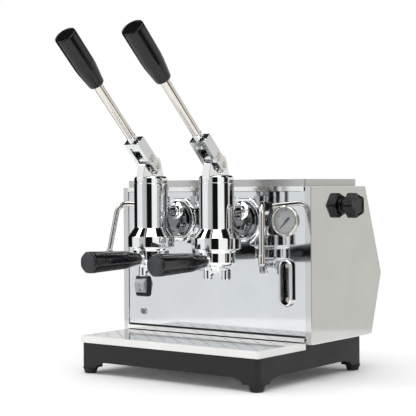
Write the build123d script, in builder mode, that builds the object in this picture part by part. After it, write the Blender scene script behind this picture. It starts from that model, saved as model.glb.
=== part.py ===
from build123d import *
import os
from math import cos, radians, sin, tan

# Two-group spring-lever espresso machine, in millimetres.
# +X is the machine's right seen from the front, -Y is its front, +Z is up.
# z = 0 is the underside of the rubber feet; x = 0 is the plane midway between the groups.

os.makedirs("parts", exist_ok=True)

# ---------------------------------------------------------------- driving dimensions
panel_y = 34.665          # plane of the front panel's face
case_w = 372.0            # casing, over the side panels
case_bottom_z = 58.0
case_top_z = 293.0
case_top_depth = 157.0    # length of the casing's top edge
case_back_depth = 205.0   # where the side panel reaches furthest back
case_back_z = 154.0
case_foot_depth = 174.0   # length of the casing's bottom edge
flange_w = 11.0           # front flange of a side panel
side_sheet = 2.0
sheet = 1.5

base_w = 344.0            # cast base, over its sides
base_front = 119.0        # how far the base reaches in front of the panel
base_back = 165.0         # and behind it
base_wall = 8.0
base_corner_r = 7.0
foot_inset = 10.0         # foot axes, in from the base's sides
foot_h = 9.5
apron_z = 19.0            # lower edge of the base's aprons
base_front_top_z = 48.0
leg_w = 29.0

tray_w = 345.0
tray_front = 120.5
tray_top_z = 59.5
tray_rim_h = 11.0

group_x = 64.4            # half the distance between the two groups
group_reach = 73.3        # group axis in front of the panel
cylinder_r = 26.4
bore_r = 22.0
bell_r = 36.5
cylinder_top_z = 299.5
cap_top_z = 311.0
flare_top_z = 231.0
flare_bottom_z = 217.0
bell_bottom_z = 200.0
neck_z = 256.0            # axis of the neck between cylinder and wall flange
neck_r = 9.5
flange_z = 241.5

lever_tilt = 45.0         # lever from the vertical, leaning forward, at rest
pin_z = 326.2             # centre of the piston-rod pin at rest
roller_along = 18.2       # roller pin from the piston-rod pin, along the lever
roller_off = -1.2         # and across it, towards the front
lever_length = 267.5      # from the piston-rod pin to the end of the grip
grip_r = 16.9
rod_offset = -0.7         # lever rod's axis, across the lever
rod_r = 4.5               # piston rod
running = 0.05            # radial clearance of a running fit

handle_z = 183.2          # axis of the portafilter handle
handle_end = 144.3        # end of the handle from the group axis

wand_x = 104.0
wand_z = 263.0
knob_y = 96.7             # steam knob axis behind the panel
knob_z = 263.5
gauge_x = 139.5
gauge_z = 241.4
sight_x = 142.0
sight_z = 147.9
switch_x = -144.0
switch_z = 131.0
lamp_z = 89.5

boiler_y = 86.0           # boiler axis behind the panel
boiler_z = 192.0
boiler_r = 60.0
boiler_half = 118.0

group_y = panel_y - group_reach
sides = {"left": -1, "right": 1}


def keep(piece, name):
    """Label one finished piece and write its STEP file."""
    piece.part.label = name
    export_step(piece.part, f"parts/{name}.step")


def facing(y, x=0.0, z=0.0):
    """A plane that faces the front (-Y) with its own x along +X and its own y along +Z."""
    return Plane(origin=(x, y, z), x_dir=(1, 0, 0), z_dir=(0, -1, 0))


def sideways(x, y=0.0, z=0.0, direction=1):
    """A plane that faces along X, to the right or (direction -1) to the left."""
    return Plane(origin=(x, y, z), x_dir=(0, direction, 0), z_dir=(direction, 0, 0))


# ---------------------------------------------------------------- base, feet, casing
base_mid_y = panel_y + (base_back - base_front) / 2
base_d = base_front + base_back
foot_x = base_w / 2 - foot_inset
foot_front_y = panel_y - base_front + foot_inset
foot_back_y = panel_y + base_back - foot_inset
foot_spots = [(sx * foot_x, y) for sx in (-1, 1) for y in (foot_front_y, foot_back_y)]

with BuildPart() as base_frame:
    with BuildSketch(Plane.XY.offset(foot_h)):
        with Locations((0, base_mid_y)):
            RectangleRounded(base_w, base_d, base_corner_r)
            RectangleRounded(base_w - 2 * base_wall, base_d - 2 * base_wall, 4, mode=Mode.SUBTRACT)
    extrude(amount=base_front_top_z - foot_h)
    # the rear half is taller and carries the casing
    with BuildSketch(Plane.XY.offset(base_front_top_z)):
        with Locations((0, base_mid_y)):
            RectangleRounded(base_w, base_d, base_corner_r)
            RectangleRounded(base_w - 2 * base_wall, base_d - 2 * base_wall, 4, mode=Mode.SUBTRACT)
        with Locations((0, panel_y - base_front)):
            Rectangle(base_w + 10, 2 * (base_front + 4), mode=Mode.SUBTRACT)
    extrude(amount=case_bottom_z - 1.5 - base_front_top_z)
    # arched openings between the legs, front to back and side to side
    for plane, span, depth in (
        (Plane.XZ.offset(-base_mid_y - base_d), base_w, 2 * base_d),
        (Plane(origin=(-base_w, base_mid_y, 0), x_dir=(0, 1, 0), z_dir=(1, 0, 0)), base_d, 2 * base_w),
    ):
        with BuildSketch(plane):
            with BuildLine():
                half = span / 2 - leg_w
                l1 = Line((-half, 0), (half, 0))
                l2 = Line(l1 @ 1, (half, foot_h))
                a1 = EllipticalCenterArc((half - 26, foot_h), 26, apron_z - foot_h, start_angle=0, arc_size=90)
                l3 = Line(a1 @ 1, (26 - half, apron_z))
                a2 = EllipticalCenterArc((26 - half, foot_h), 26, apron_z - foot_h, start_angle=90, arc_size=90)
                Line(a2 @ 1, l1 @ 0)
            make_face()
        extrude(amount=depth, mode=Mode.SUBTRACT)
    # corner pads that take the feet
    pad = leg_w - 5
    with BuildSketch(Plane.XY.offset(foot_h)):
        for sx in (-1, 1):
            for y, sy in ((panel_y - base_front + 2, 1), (panel_y + base_back - 2, -1)):
                with Locations((sx * (base_w / 2 - 2 - pad / 2), y + sy * pad / 2)):
                    RectangleRounded(pad, pad, 9)
    extrude(amount=10)
keep(base_frame, "base_frame")

with BuildPart() as feet:
    for x, y in foot_spots:
        with BuildSketch(Plane.XZ.offset(-y)):
            with BuildLine():
                Polyline((x, 0), (x + 8.6, 0), (x + 9.6, 1.2), (x + 11.2, 6.8), (x + 12, 7.4),
                         (x + 12, foot_h), (x, foot_h), close=True)
            make_face()
        revolve(axis=Axis((x, y, 0), (0, 0, 1)))
keep(feet, "feet")

floor_z = case_bottom_z - 1.5
frame_low_z = 286.4
frame_top_z = 292.8
frame_d = 154.0           # top frame, front to back
frame_mid_y = panel_y + 0.2 + frame_d / 2

with BuildPart() as chassis:
    # floor of the casing
    with BuildSketch(Plane.XY.offset(floor_z)):
        with Locations((0, panel_y + 4 + 83)):
            Rectangle(case_w - 2 * side_sheet - 1, 166)
        with Locations((0, panel_y + 86)):
            with GridLocations(24, 0, 9, 1):
                SlotOverall(70, 7, rotation=90, mode=Mode.SUBTRACT)
    extrude(amount=sheet)
    # folded sill under the front panel, standing proud of it
    with BuildSketch(Plane(origin=(-174.5, panel_y, 0), x_dir=(0, 1, 0), z_dir=(1, 0, 0))):
        with BuildLine():
            Polyline((-5.5, 66.5), (-5.5, 60.5), (5.5, 60.5), (5.5, 58), (7, 58), (7, 62), (-4, 62),
                     (-4, 65), (-0.8, 65), (-0.8, 66.5), close=True)
        make_face()
    extrude(amount=349)
    # angle posts between the floor and the top frame
    for sx in (-1, 1):
        for y, sy in ((panel_y + 8, 1), (panel_y + 150, -1)):
            with BuildSketch(Plane.XY.offset(case_bottom_z)):
                with Locations((sx * 168, y)):
                    Rectangle(12, 2)
                with Locations((sx * 173, y + sy * 4)):
                    Rectangle(2, 10)
            extrude(amount=frame_low_z - case_bottom_z)
    # top frame with a hem in front of the panel's upper edge
    with BuildSketch(Plane.XY.offset(frame_low_z)):
        with Locations((0, frame_mid_y)):
            Rectangle(350, frame_d)
            Rectangle(324, frame_d - 26, mode=Mode.SUBTRACT)
            with GridLocations(290, frame_d - 13, 2, 2):
                Circle(2.1, mode=Mode.SUBTRACT)
    extrude(amount=frame_top_z - frame_low_z)
    with BuildSketch(Plane.XY.offset(frame_top_z - 1.8)):
        with Locations((0, frame_mid_y)):
            with GridLocations(290, frame_d - 13, 2, 2):
                Circle(4)
    extrude(amount=2, mode=Mode.SUBTRACT)
    with BuildSketch(Plane(origin=(-174.5, panel_y, 0), x_dir=(0, 1, 0), z_dir=(1, 0, 0))):
        with BuildLine():
            Polyline((-3, 293.6), (-3, frame_low_z), (0.4, frame_low_z), (0.4, frame_low_z + 1.5),
                     (-1.5, frame_low_z + 1.5), (-1.5, 293.6), close=True)
        make_face()
    extrude(amount=349)
    # two cradles that carry the boiler
    for x in (-80, 80):
        with BuildSketch(sideways(x - 1.5, panel_y + boiler_y, 0)):
            with Locations((0, case_bottom_z + 45)):
                Rectangle(90, 90)
            with Locations((0, boiler_z)):
                Circle(boiler_r + 0.02, mode=Mode.SUBTRACT)
            with Locations((0, case_bottom_z + 34)):
                RectangleRounded(44, 40, 8, mode=Mode.SUBTRACT)
        extrude(amount=3)
keep(chassis, "chassis")

# casing outline seen from the side, as (depth behind the panel, height)
outline = [(-1.0, case_bottom_z), (-1.0, case_top_z), (case_top_depth, case_top_z),
           (case_back_depth, case_back_z), (case_foot_depth, case_bottom_z)]

for side, sx in sides.items():
    with BuildPart() as side_panel:
        with BuildSketch(Plane(origin=(sx * (case_w / 2 - side_sheet), panel_y, 0), x_dir=(0, 1, 0),
                               z_dir=(1, 0, 0))):
            with BuildLine():
                Polyline(*outline, close=True)
            make_face()
        extrude(amount=sx * side_sheet)
        with BuildSketch(facing(panel_y + 1.0)):
            with Locations((sx * (case_w / 2 - flange_w / 2), (case_bottom_z + case_top_z) / 2)):
                Rectangle(flange_w, case_top_z - case_bottom_z)
        extrude(amount=2.0)
        # hole for the steam valve's stem
        with BuildSketch(sideways(0, panel_y + knob_y, knob_z)):
            Circle(6)
        extrude(amount=sx * case_w, mode=Mode.SUBTRACT)
        front_edge = [e for e in side_panel.edges().filter_by(Axis.Z)
                      if abs(e.center().X) > case_w / 2 - 0.1 and e.center().Y < panel_y]
        fillet(front_edge, radius=0.9)
    keep(side_panel, f"side_panel_{side}")

panel_top_z = 285.8
panel_low_z = 67.8
with BuildPart() as front_panel:
    with BuildSketch(facing(panel_y + sheet)):
        with Locations((0, (panel_top_z + panel_low_z) / 2)):
            Rectangle(349.4, panel_top_z - panel_low_z)
        for x in (-group_x, group_x):
            with Locations((x, neck_z - 16)):
                Circle(10.6, mode=Mode.SUBTRACT)
        for x in (-wand_x, wand_x):
            with Locations((x, wand_z)):
                Circle(5.5, mode=Mode.SUBTRACT)
        with Locations((gauge_x, gauge_z)):
            Circle(22, mode=Mode.SUBTRACT)
        with Locations((sight_x, sight_z)):
            SlotOverall(69.5, 20.2, rotation=90, mode=Mode.SUBTRACT)
        with Locations((switch_x, switch_z)):
            Rectangle(27, 30, mode=Mode.SUBTRACT)
        with Locations((switch_x, lamp_z)):
            Circle(5.1, mode=Mode.SUBTRACT)
    extrude(amount=sheet)
keep(front_panel, "front_panel")

with BuildPart() as case_screws:
    for z, depth, radius in ((frame_low_z - 7, 11, 2.0), (frame_top_z - 1.8, 1.7, 3.8)):
        with BuildSketch(Plane.XY.offset(z)):
            with Locations((0, frame_mid_y)):
                with GridLocations(290, frame_d - 13, 2, 2):
                    Circle(radius)
        extrude(amount=depth)
keep(case_screws, "case_screws")

with BuildPart() as rear_cover:
    with BuildSketch(Plane(origin=(-(case_w / 2 - side_sheet - 0.5), panel_y, 0), x_dir=(0, 1, 0),
                           z_dir=(1, 0, 0))):
        with BuildLine():
            Polyline((156.6, 292.6), (204.6, case_back_z), (173.2, 58.3), (171.6, 58.3),
                     (203.0, case_back_z), (155.0, 292.6), close=True)
        make_face()
    extrude(amount=case_w - 2 * side_sheet - 1)
    # louvres in the upper and lower rear faces, and the hole for the inlet gland
    with BuildSketch(facing(panel_y + 260)):
        with Locations((0, 230), (0, 115)):
            with GridLocations(0, 14, 1, 4):
                SlotOverall(180, 5)
        with Locations((120, 76)):
            Circle(9.4)
    extrude(amount=110, mode=Mode.SUBTRACT)
keep(rear_cover, "rear_cover")

# ---------------------------------------------------------------- drip tray and cup tray
with BuildPart() as drip_pan:
    pan_y = panel_y - 57
    with BuildSketch(Plane.XY.offset(30)):
        with Locations((0, pan_y)):
            RectangleRounded(306, 94, 8)
    extrude(amount=base_front_top_z + sheet - 30)
    with BuildSketch(Plane.XY.offset(base_front_top_z)):
        with Locations((0, panel_y - 59)):
            RectangleRounded(336, 112, 8)
    extrude(amount=sheet)
    with BuildSketch(Plane.XY.offset(30 + sheet)):
        with Locations((0, pan_y)):
            RectangleRounded(303, 91, 6.5)
    extrude(amount=30, mode=Mode.SUBTRACT)
    # drain outlet at the back of the pan
    with BuildSketch(Plane.XY.offset(21)):
        with Locations((0, pan_y + 34)):
            Circle(7)
    extrude(amount=9.5)
    with BuildSketch(Plane.XY.offset(20)):
        with Locations((0, pan_y + 34)):
            Circle(5)
    extrude(amount=14, mode=Mode.SUBTRACT)
keep(drip_pan, "drip_pan")

tray_tuck = 3.0            # the cover's rear edge, under the sill
tray_joggle_d = 9.0
tray_joggle_h = 0.5
with BuildPart() as tray_cover:
    cover_d = tray_front + tray_tuck
    cover_y = panel_y + tray_tuck - cover_d / 2
    with BuildSketch(Plane.XY.offset(tray_top_z - tray_rim_h)):
        with Locations((0, cover_y)):
            Rectangle(tray_w, cover_d)
    extrude(amount=tray_rim_h)
    # hollow below, and open at the back so that the cover draws out forwards
    with BuildSketch(Plane.XY.offset(tray_top_z - tray_rim_h)):
        with Locations((0, cover_y + sheet)):
            Rectangle(tray_w - 2 * sheet, cover_d)
    extrude(amount=tray_rim_h - sheet, mode=Mode.SUBTRACT)
    # rear edge set down a little where it goes under the sill
    with BuildSketch(Plane.XY.offset(tray_top_z - tray_joggle_h)):
        with Locations((0, panel_y + tray_tuck - tray_joggle_d / 2)):
            Rectangle(tray_w + 2, tray_joggle_d)
    extrude(amount=2, mode=Mode.SUBTRACT)
    # staggered rows of drain holes
    with BuildSketch(Plane.XY.offset(tray_top_z - 4)):
        with Locations((0, panel_y - 64)):
            with GridLocations(28.5, 26, 12, 4):
                Circle(2.1)
        with Locations((0, panel_y - 51)):
            with GridLocations(28.5, 26, 11, 4):
                Circle(2.1)
    extrude(amount=8, mode=Mode.SUBTRACT)
keep(tray_cover, "tray_cover")

lid_w = 350.0
lid_d = 147.0
lid_top_z = 304.5
with BuildPart() as cup_tray:
    lid_y = panel_y + lid_d / 2
    with BuildSketch(Plane.XY.offset(case_top_z + 0.3)):
        with Locations((0, lid_y)):
            RectangleRounded(lid_w, lid_d, 2)
    extrude(amount=lid_top_z - case_top_z - 0.3)
    with BuildSketch(Plane.XY.offset(case_top_z + 0.3)):
        with Locations((0, lid_y)):
            Rectangle(lid_w - 2 * sheet, lid_d - 2 * sheet)
    extrude(amount=4.2, mode=Mode.SUBTRACT)
    # sunken floor for the cups, inside a folded rim
    with BuildSketch(Plane.XY.offset(299)):
        with Locations((0, lid_y)):
            RectangleRounded(lid_w - 16, lid_d - 16, 4)
    extrude(amount=10, mode=Mode.SUBTRACT)
    with BuildSketch(Plane.XY.offset(290)):
        with Locations((0, lid_y)):
            with GridLocations(34, 30, 9, 4):
                SlotOverall(22, 4)
    extrude(amount=20, mode=Mode.SUBTRACT)
keep(cup_tray, "cup_tray")

# ---------------------------------------------------------------- boiler and plumbing
with BuildPart() as boiler_shell:
    dome = 14.0
    wall = 2.5
    with BuildSketch(Plane.XZ.offset(-(panel_y + boiler_y))):
        with BuildLine():
            o1 = Line((-boiler_half, boiler_z), (-boiler_half, boiler_z + 20))
            o2 = ThreePointArc(o1 @ 1, (-boiler_half + 3.2, boiler_z + 40),
                               (-boiler_half + dome, boiler_z + boiler_r))
            o3 = Line(o2 @ 1, (boiler_half - dome, boiler_z + boiler_r))
            o4 = ThreePointArc(o3 @ 1, (boiler_half - 3.2, boiler_z + 40),
                               (boiler_half, boiler_z + 20))
            o5 = Line(o4 @ 1, (boiler_half, boiler_z))
            Line(o5 @ 1, o1 @ 0)
        make_face()
    revolve(axis=Axis((0, panel_y + boiler_y, boiler_z), (1, 0, 0)))
    # flat-topped bosses for the steam feeds, the safety valve and the pressurestat
    with BuildSketch(Plane.XY.offset(boiler_z + boiler_r - 7)):
        with Locations((-60, panel_y + knob_y), (60, panel_y + knob_y), (-20, panel_y + boiler_y),
                       (-84, panel_y + 74)):
            Circle(8)
    extrude(amount=15)
    # bosses for the two groups
    for x in (-group_x, group_x):
        with BuildSketch(facing(panel_y + 62, x, neck_z - 16)):
            Circle(14)
        extrude(amount=37)
        with BuildSketch(facing(panel_y + 70, x, neck_z - 16)):
            Circle(6)
        extrude(amount=60, mode=Mode.SUBTRACT)
    with BuildSketch(Plane.XZ.offset(-(panel_y + boiler_y))):
        with BuildLine():
            i1 = Line((-boiler_half + wall, boiler_z), (-boiler_half + wall, boiler_z + 19))
            i2 = ThreePointArc(i1 @ 1, (-boiler_half + wall + 2.9, boiler_z + 39),
                               (-boiler_half + dome, boiler_z + boiler_r - wall))
            i3 = Line(i2 @ 1, (boiler_half - dome, boiler_z + boiler_r - wall))
            i4 = ThreePointArc(i3 @ 1, (boiler_half - wall - 2.9, boiler_z + 39),
                               (boiler_half - wall, boiler_z + 19))
            i5 = Line(i4 @ 1, (boiler_half - wall, boiler_z))
            Line(i5 @ 1, i1 @ 0)
        make_face()
    revolve(axis=Axis((0, panel_y + boiler_y, boiler_z), (1, 0, 0)), mode=Mode.SUBTRACT)
    # opening for the heating element in the left end
    with BuildSketch(sideways(-boiler_half - 5, panel_y + boiler_y, boiler_z)):
        Circle(14)
    extrude(amount=12, mode=Mode.SUBTRACT)
keep(boiler_shell, "boiler_shell")

with BuildPart() as heating_element:
    with BuildSketch(sideways(-boiler_half - 6, panel_y + boiler_y, boiler_z)):
        Circle(26)
        with PolarLocations(20, 6):
            Circle(2.5, mode=Mode.SUBTRACT)
    extrude(amount=6)
    with BuildSketch(sideways(-boiler_half, panel_y + boiler_y, boiler_z)):
        Circle(13)
    extrude(amount=5)
    # one hairpin loop under water
    with BuildLine(Plane.XY.offset(boiler_z)):
        loop_start = -boiler_half + 3
        loop_end = boiler_half - 40
        h1 = Line((loop_start, panel_y + boiler_y - 8), (loop_end, panel_y + boiler_y - 8))
        h2 = ThreePointArc(h1 @ 1, (loop_end + 8, panel_y + boiler_y), (loop_end, panel_y + boiler_y + 8))
        Line(h2 @ 1, (loop_start, panel_y + boiler_y + 8))
    with BuildSketch(sideways(loop_start, panel_y + boiler_y - 8, boiler_z)):
        Circle(4)
    sweep()
    for dz in (-6, 6):
        with BuildSketch(sideways(-boiler_half - 16, panel_y + boiler_y, boiler_z + dz)):
            Circle(2.5)
        extrude(amount=10)
keep(heating_element, "heating_element")

boss_top_z = boiler_z + boiler_r + 8
with BuildPart() as safety_valve:
    with BuildSketch(Plane.XY.offset(boss_top_z)):
        with Locations((-20, panel_y + boiler_y)):
            RegularPolygon(8, 6)
    extrude(amount=6)
    with BuildSketch(Plane.XY.offset(boss_top_z + 6)):
        with Locations((-20, panel_y + boiler_y)):
            Circle(6)
    extrude(amount=12)
    with BuildSketch(Plane.XY.offset(boss_top_z + 18)):
        with Locations((-20, panel_y + boiler_y)):
            Circle(3)
    extrude(amount=2.5)
keep(safety_valve, "safety_valve")

with BuildPart() as pressurestat:
    with BuildSketch(Plane.XY.offset(boss_top_z)):
        with Locations((-84, panel_y + 74)):
            RegularPolygon(8, 6)
    extrude(amount=5)
    with BuildSketch(Plane.XY.offset(boss_top_z + 5)):
        with Locations((-84, panel_y + 70)):
            Circle(15)
    extrude(amount=5)
    with BuildSketch(Plane.XY.offset(boss_top_z + 10)):
        with Locations((-84, panel_y + 70)):
            RectangleRounded(34, 36, 3)
    extrude(amount=14)
keep(pressurestat, "pressurestat")

with BuildPart() as steam_valves:
    for side, sx in sides.items():
        # body behind the side panel, and the stem that carries the knob
        with BuildSketch(sideways(sx * 141, panel_y + knob_y, knob_z, sx)):
            RegularPolygon(12, 6)
        extrude(amount=24)
        with BuildSketch(sideways(sx * 165, panel_y + knob_y, knob_z, sx)):
            Circle(9.5)
        extrude(amount=case_w / 2 - side_sheet - 0.5 - 165)
        with BuildSketch(sideways(sx * 180, panel_y + knob_y, knob_z, sx)):
            Circle(4)
        extrude(amount=25)
keep(steam_valves, "steam_valves")


def pipe(points, bend, radius):
    """A round pipe along straight runs joined by arcs."""
    with BuildPart() as run:
        with BuildLine():
            route = FilletPolyline(*points, radius=bend)
        with BuildSketch(Plane(origin=route @ 0, z_dir=route % 0)):
            Circle(radius)
        sweep(path=route)
    return run.part


valve_top_z = knob_z + 12 * cos(radians(30))
pipe_y = panel_y + knob_y
pipes = []
for side, sx in sides.items():
    # valve outlet to the wand's socket in the front panel
    pipes.append(pipe([(sx * 141, pipe_y, knob_z), (sx * wand_x, pipe_y, knob_z),
                       (sx * wand_x, panel_y + 14, knob_z)], 12, 3.5))
    # steam feed from the top of the boiler to the valve
    pipes.append(pipe([(sx * 60, pipe_y, boss_top_z), (sx * 60, pipe_y, 281.5), (sx * 153, pipe_y, 281.5),
                       (sx * 153, pipe_y, valve_top_z)], 6, 3))
# gauge line from the right end of the boiler
pipes.append(pipe([(gauge_x, panel_y + 24, gauge_z), (gauge_x, panel_y + boiler_y, gauge_z),
                   (gauge_x, panel_y + boiler_y, boiler_z), (boiler_half, panel_y + boiler_y, boiler_z)], 9, 2))

with BuildPart() as pipework:
    add(pipes)
    # union nuts behind the front panel
    for sx in (-1, 1):
        with BuildSketch(facing(panel_y + 14, sx * wand_x, wand_z)):
            RegularPolygon(8.5, 6)
        extrude(amount=12.4)
keep(pipework, "pipework")

with BuildPart() as terminal_box:
    with BuildSketch(Plane.XY.offset(floor_z + sheet)):
        with Locations((122, panel_y + 128)):
            RectangleRounded(70, 44, 4)
    extrude(amount=34)
keep(terminal_box, "terminal_box")

with BuildPart() as cable_gland:
    with BuildSketch(Plane.XZ.offset(-(panel_y + 150))):
        with Locations((120, 76)):
            Circle(9)
    extrude(amount=-38)
    with BuildSketch(Plane.XZ.offset(-(panel_y + 184))):
        with Locations((120, 76)):
            RegularPolygon(12, 6)
    extrude(amount=-7)
    with BuildSketch(Plane.XZ.offset(-(panel_y + 149))):
        with Locations((120, 76)):
            Circle(4.5)
    extrude(amount=-50, mode=Mode.SUBTRACT)
keep(cable_gland, "cable_gland")

# ---------------------------------------------------------------- front panel fittings
ball_r = 6.0
ball_y = panel_y - 7.5
with BuildPart() as wand_bushes:
    # two-lipped sockets: each holds the ball of a wand from above and below
    for sx in (-1, 1):
        with Locations((sx * wand_x, ball_y, wand_z)):
            Sphere(7.5)
        with BuildSketch(facing(panel_y - 0.1, sx * wand_x, wand_z)):
            Circle(7.2)
        extrude(amount=3)
        with Locations((sx * wand_x, ball_y, wand_z)):
            Sphere(ball_r + running, mode=Mode.SUBTRACT)
        with BuildSketch(Plane.XY.offset(wand_z - 4.9)):
            with Locations((sx * wand_x, ball_y - 2.7)):
                Rectangle(20, 14.6)
        extrude(amount=9.8, mode=Mode.SUBTRACT)
keep(wand_bushes, "wand_bushes")

gauge_r = 23.75
dial_y = panel_y + 3.0    # face of the dial, sunk behind the ring
with BuildPart() as gauge_case:
    with BuildSketch(facing(panel_y + 18, gauge_x, gauge_z)):
        Circle(21.5)
    extrude(amount=18)
    with BuildSketch(facing(panel_y - 0.1, gauge_x, gauge_z)):
        Circle(gauge_r)
    extrude(amount=5.4)
    fillet(gauge_case.faces().sort_by(Axis.Y)[0].outer_wire().edges(), radius=2.2)
    with BuildSketch(facing(dial_y + 0.8, gauge_x, gauge_z)):
        Circle(20)
    extrude(amount=20, mode=Mode.SUBTRACT)
    with BuildSketch(facing(panel_y + 24, gauge_x, gauge_z)):
        RegularPolygon(7, 6)
    extrude(amount=6)
keep(gauge_case, "gauge_case")

with BuildPart() as gauge_dial:
    with BuildSketch(facing(dial_y + 0.8, gauge_x, gauge_z)):
        Circle(19.9)
    extrude(amount=0.8)
    # boss that the needle turns on
    with BuildSketch(facing(dial_y, gauge_x, gauge_z)):
        Circle(0.8)
    extrude(amount=2.2)
keep(gauge_dial, "gauge_dial")

needle_rest = 225.0       # the zero mark, counter-clockwise from the dial's +X as seen from the front
with BuildPart() as gauge_needle:
    with BuildSketch(facing(dial_y - 0.6, gauge_x, gauge_z)):
        Circle(2.2)
        with Locations(Rotation(0, 0, needle_rest)):
            Polygon((-7, -0.9), (0, -1.1), (16.5, -0.25), (16.5, 0.25), (0, 1.1), (-7, 0.9), align=None)
        Circle(0.8 + running, mode=Mode.SUBTRACT)
    extrude(amount=0.8)
keep(gauge_needle, "gauge_needle")

sight_w = 22.6
sight_h = 72.9
with BuildPart() as sight_glass_frame:
    with BuildSketch(facing(panel_y - 0.1, sight_x, sight_z)):
        SlotOverall(sight_h, sight_w, rotation=90)
    extrude(amount=8.4)
    fillet(sight_glass_frame.faces().sort_by(Axis.Y)[0].outer_wire().edges(), radius=2.6)
    with BuildSketch(facing(panel_y + 14, sight_x, sight_z)):
        SlotOverall(sight_h - 4.4, 19.6, rotation=90)
    extrude(amount=14.2)
    with BuildSketch(facing(panel_y + 12.5, sight_x, sight_z)):
        SlotOverall(sight_h - 9.6, 14.2, rotation=90)
    extrude(amount=30, mode=Mode.SUBTRACT)
keep(sight_glass_frame, "sight_glass_frame")

with BuildPart() as sight_glass_tube:
    with BuildSketch(Plane.XY.offset(sight_z - 23.5)):
        with Locations((sight_x, panel_y + 4)):
            Circle(4.2)
            Circle(2.8, mode=Mode.SUBTRACT)
    extrude(amount=47)
    # gland nuts that hold the tube's two ends
    for z in (sight_z - 28.5, sight_z + 23.5):
        with BuildSketch(Plane.XY.offset(z)):
            with Locations((sight_x, panel_y + 4)):
                RegularPolygon(5.6, 6)
        extrude(amount=5)
keep(sight_glass_tube, "sight_glass_tube")

with BuildPart() as switch_bezel:
    with BuildSketch(facing(panel_y - 0.1, switch_x, switch_z)):
        RectangleRounded(28.5, 34, 3)
    extrude(amount=4.6)
    with BuildSketch(facing(panel_y + 26, switch_x, switch_z)):
        Rectangle(26.4, 29.4)
    extrude(amount=26.1)
    with BuildSketch(facing(panel_y + 9, switch_x, switch_z)):
        Rectangle(23, 27)
    extrude(amount=20, mode=Mode.SUBTRACT)
    # the rocker's pivot, from wall to wall
    with BuildSketch(sideways(switch_x - 11.5, panel_y + 3, switch_z)):
        Circle(1.6)
    extrude(amount=23)
keep(switch_bezel, "switch_bezel")

with BuildPart() as switch_rocker:
    with BuildSketch(Plane(origin=(switch_x - 10.9, panel_y + 3, switch_z), x_dir=(0, 1, 0), z_dir=(1, 0, 0))):
        # seen from the side: a blunt ridge above the pivot, the lower half standing out at rest
        with BuildLine():
            Polyline((2.2, 3.2), (-2, 12.4), (-8.4, 12.8), (-11.4, 5.5), (-11, 0), (-8.2, -11.6),
                     (-2, -12.2), (2.2, -3.2), (3.4, 0), close=True)
        make_face()
        Circle(1.6 + running, mode=Mode.SUBTRACT)
    extrude(amount=21.8)
keep(switch_rocker, "switch_rocker")

with BuildPart() as indicator_lamp:
    with BuildSketch(facing(panel_y - 0.1, switch_x, lamp_z)):
        Circle(6.3)
    extrude(amount=1.8)
    with BuildSketch(facing(panel_y + 14, switch_x, lamp_z)):
        Circle(5)
    extrude(amount=14)
    with BuildSketch(facing(panel_y - 1.9, switch_x, lamp_z)):
        Circle(4.6)
    extrude(amount=2.2)
    fillet(indicator_lamp.faces().sort_by(Axis.Y)[0].outer_wire().edges(), radius=1.6)
keep(indicator_lamp, "indicator_lamp")

# ---------------------------------------------------------------- steam knobs and wands
knob_gap = 0.8            # between the side panel and the knob's collar
knob_r = 21.0
for side, sx in sides.items():
    with BuildPart() as steam_knob:
        start = sx * (case_w / 2 + 6.8)
        with BuildSketch(sideways(start, panel_y + knob_y, knob_z, sx)):
            # a corner of the pentagon points to the front
            RegularPolygon(knob_r, 5, rotation=180 if sx > 0 else 0)
        extrude(amount=17.2)
        fillet(steam_knob.edges().filter_by(Axis.X), radius=2.5)
        outer_face = steam_knob.faces().sort_by(Axis.X)[-1 if sx > 0 else 0]
        fillet(outer_face.edges(), radius=1.0)
        with BuildSketch(sideways(sx * (case_w / 2 + knob_gap), panel_y + knob_y, knob_z, sx)):
            Circle(13.5)
        extrude(amount=6.8 - knob_gap)
        # shallow round dish in the end face
        with BuildSketch(sideways(sx * (case_w / 2 + 23), panel_y + knob_y, knob_z, sx)):
            Circle(14)
        extrude(amount=3, mode=Mode.SUBTRACT)
        with BuildSketch(sideways(sx * case_w / 2, panel_y + knob_y, knob_z, sx)):
            Circle(4 + running)
        extrude(amount=20.3, mode=Mode.SUBTRACT)
    keep(steam_knob, f"steam_knob_{side}")

wand_swivel = {"left": 52.0, "right": 33.0}   # outward from straight ahead, at rest
for side, sx in sides.items():
    out_x = sx * sin(radians(wand_swivel[side]))
    out_y = -cos(radians(wand_swivel[side]))
    reach = 65.0
    drop_z = 177.5
    lean = tan(radians(11)) * (wand_z + 6 - drop_z)
    ball = (sx * wand_x, ball_y, wand_z)
    corner = (ball[0] + reach * out_x, ball_y + reach * out_y, wand_z + 6)
    tip = (ball[0] + (reach + lean) * out_x, ball_y + (reach + lean) * out_y, drop_z)
    with BuildPart() as steam_wand:
        with BuildLine():
            wand_route = FilletPolyline(ball, corner, tip, radius=17)
        with BuildSketch(Plane(origin=wand_route @ 0, z_dir=wand_route % 0)):
            Circle(4)
        sweep(path=wand_route)
        with Locations(ball):
            Sphere(ball_r)
        # nozzle with one bore
        with BuildSketch(Plane(origin=wand_route @ 1, z_dir=-(wand_route % 1))):
            Circle(5)
        extrude(amount=12)
        with BuildSketch(Plane(origin=wand_route @ 1, z_dir=-(wand_route % 1))):
            Circle(1.2)
        extrude(amount=9, mode=Mode.SUBTRACT)
    keep(steam_wand, f"steam_wand_{side}")

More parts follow.
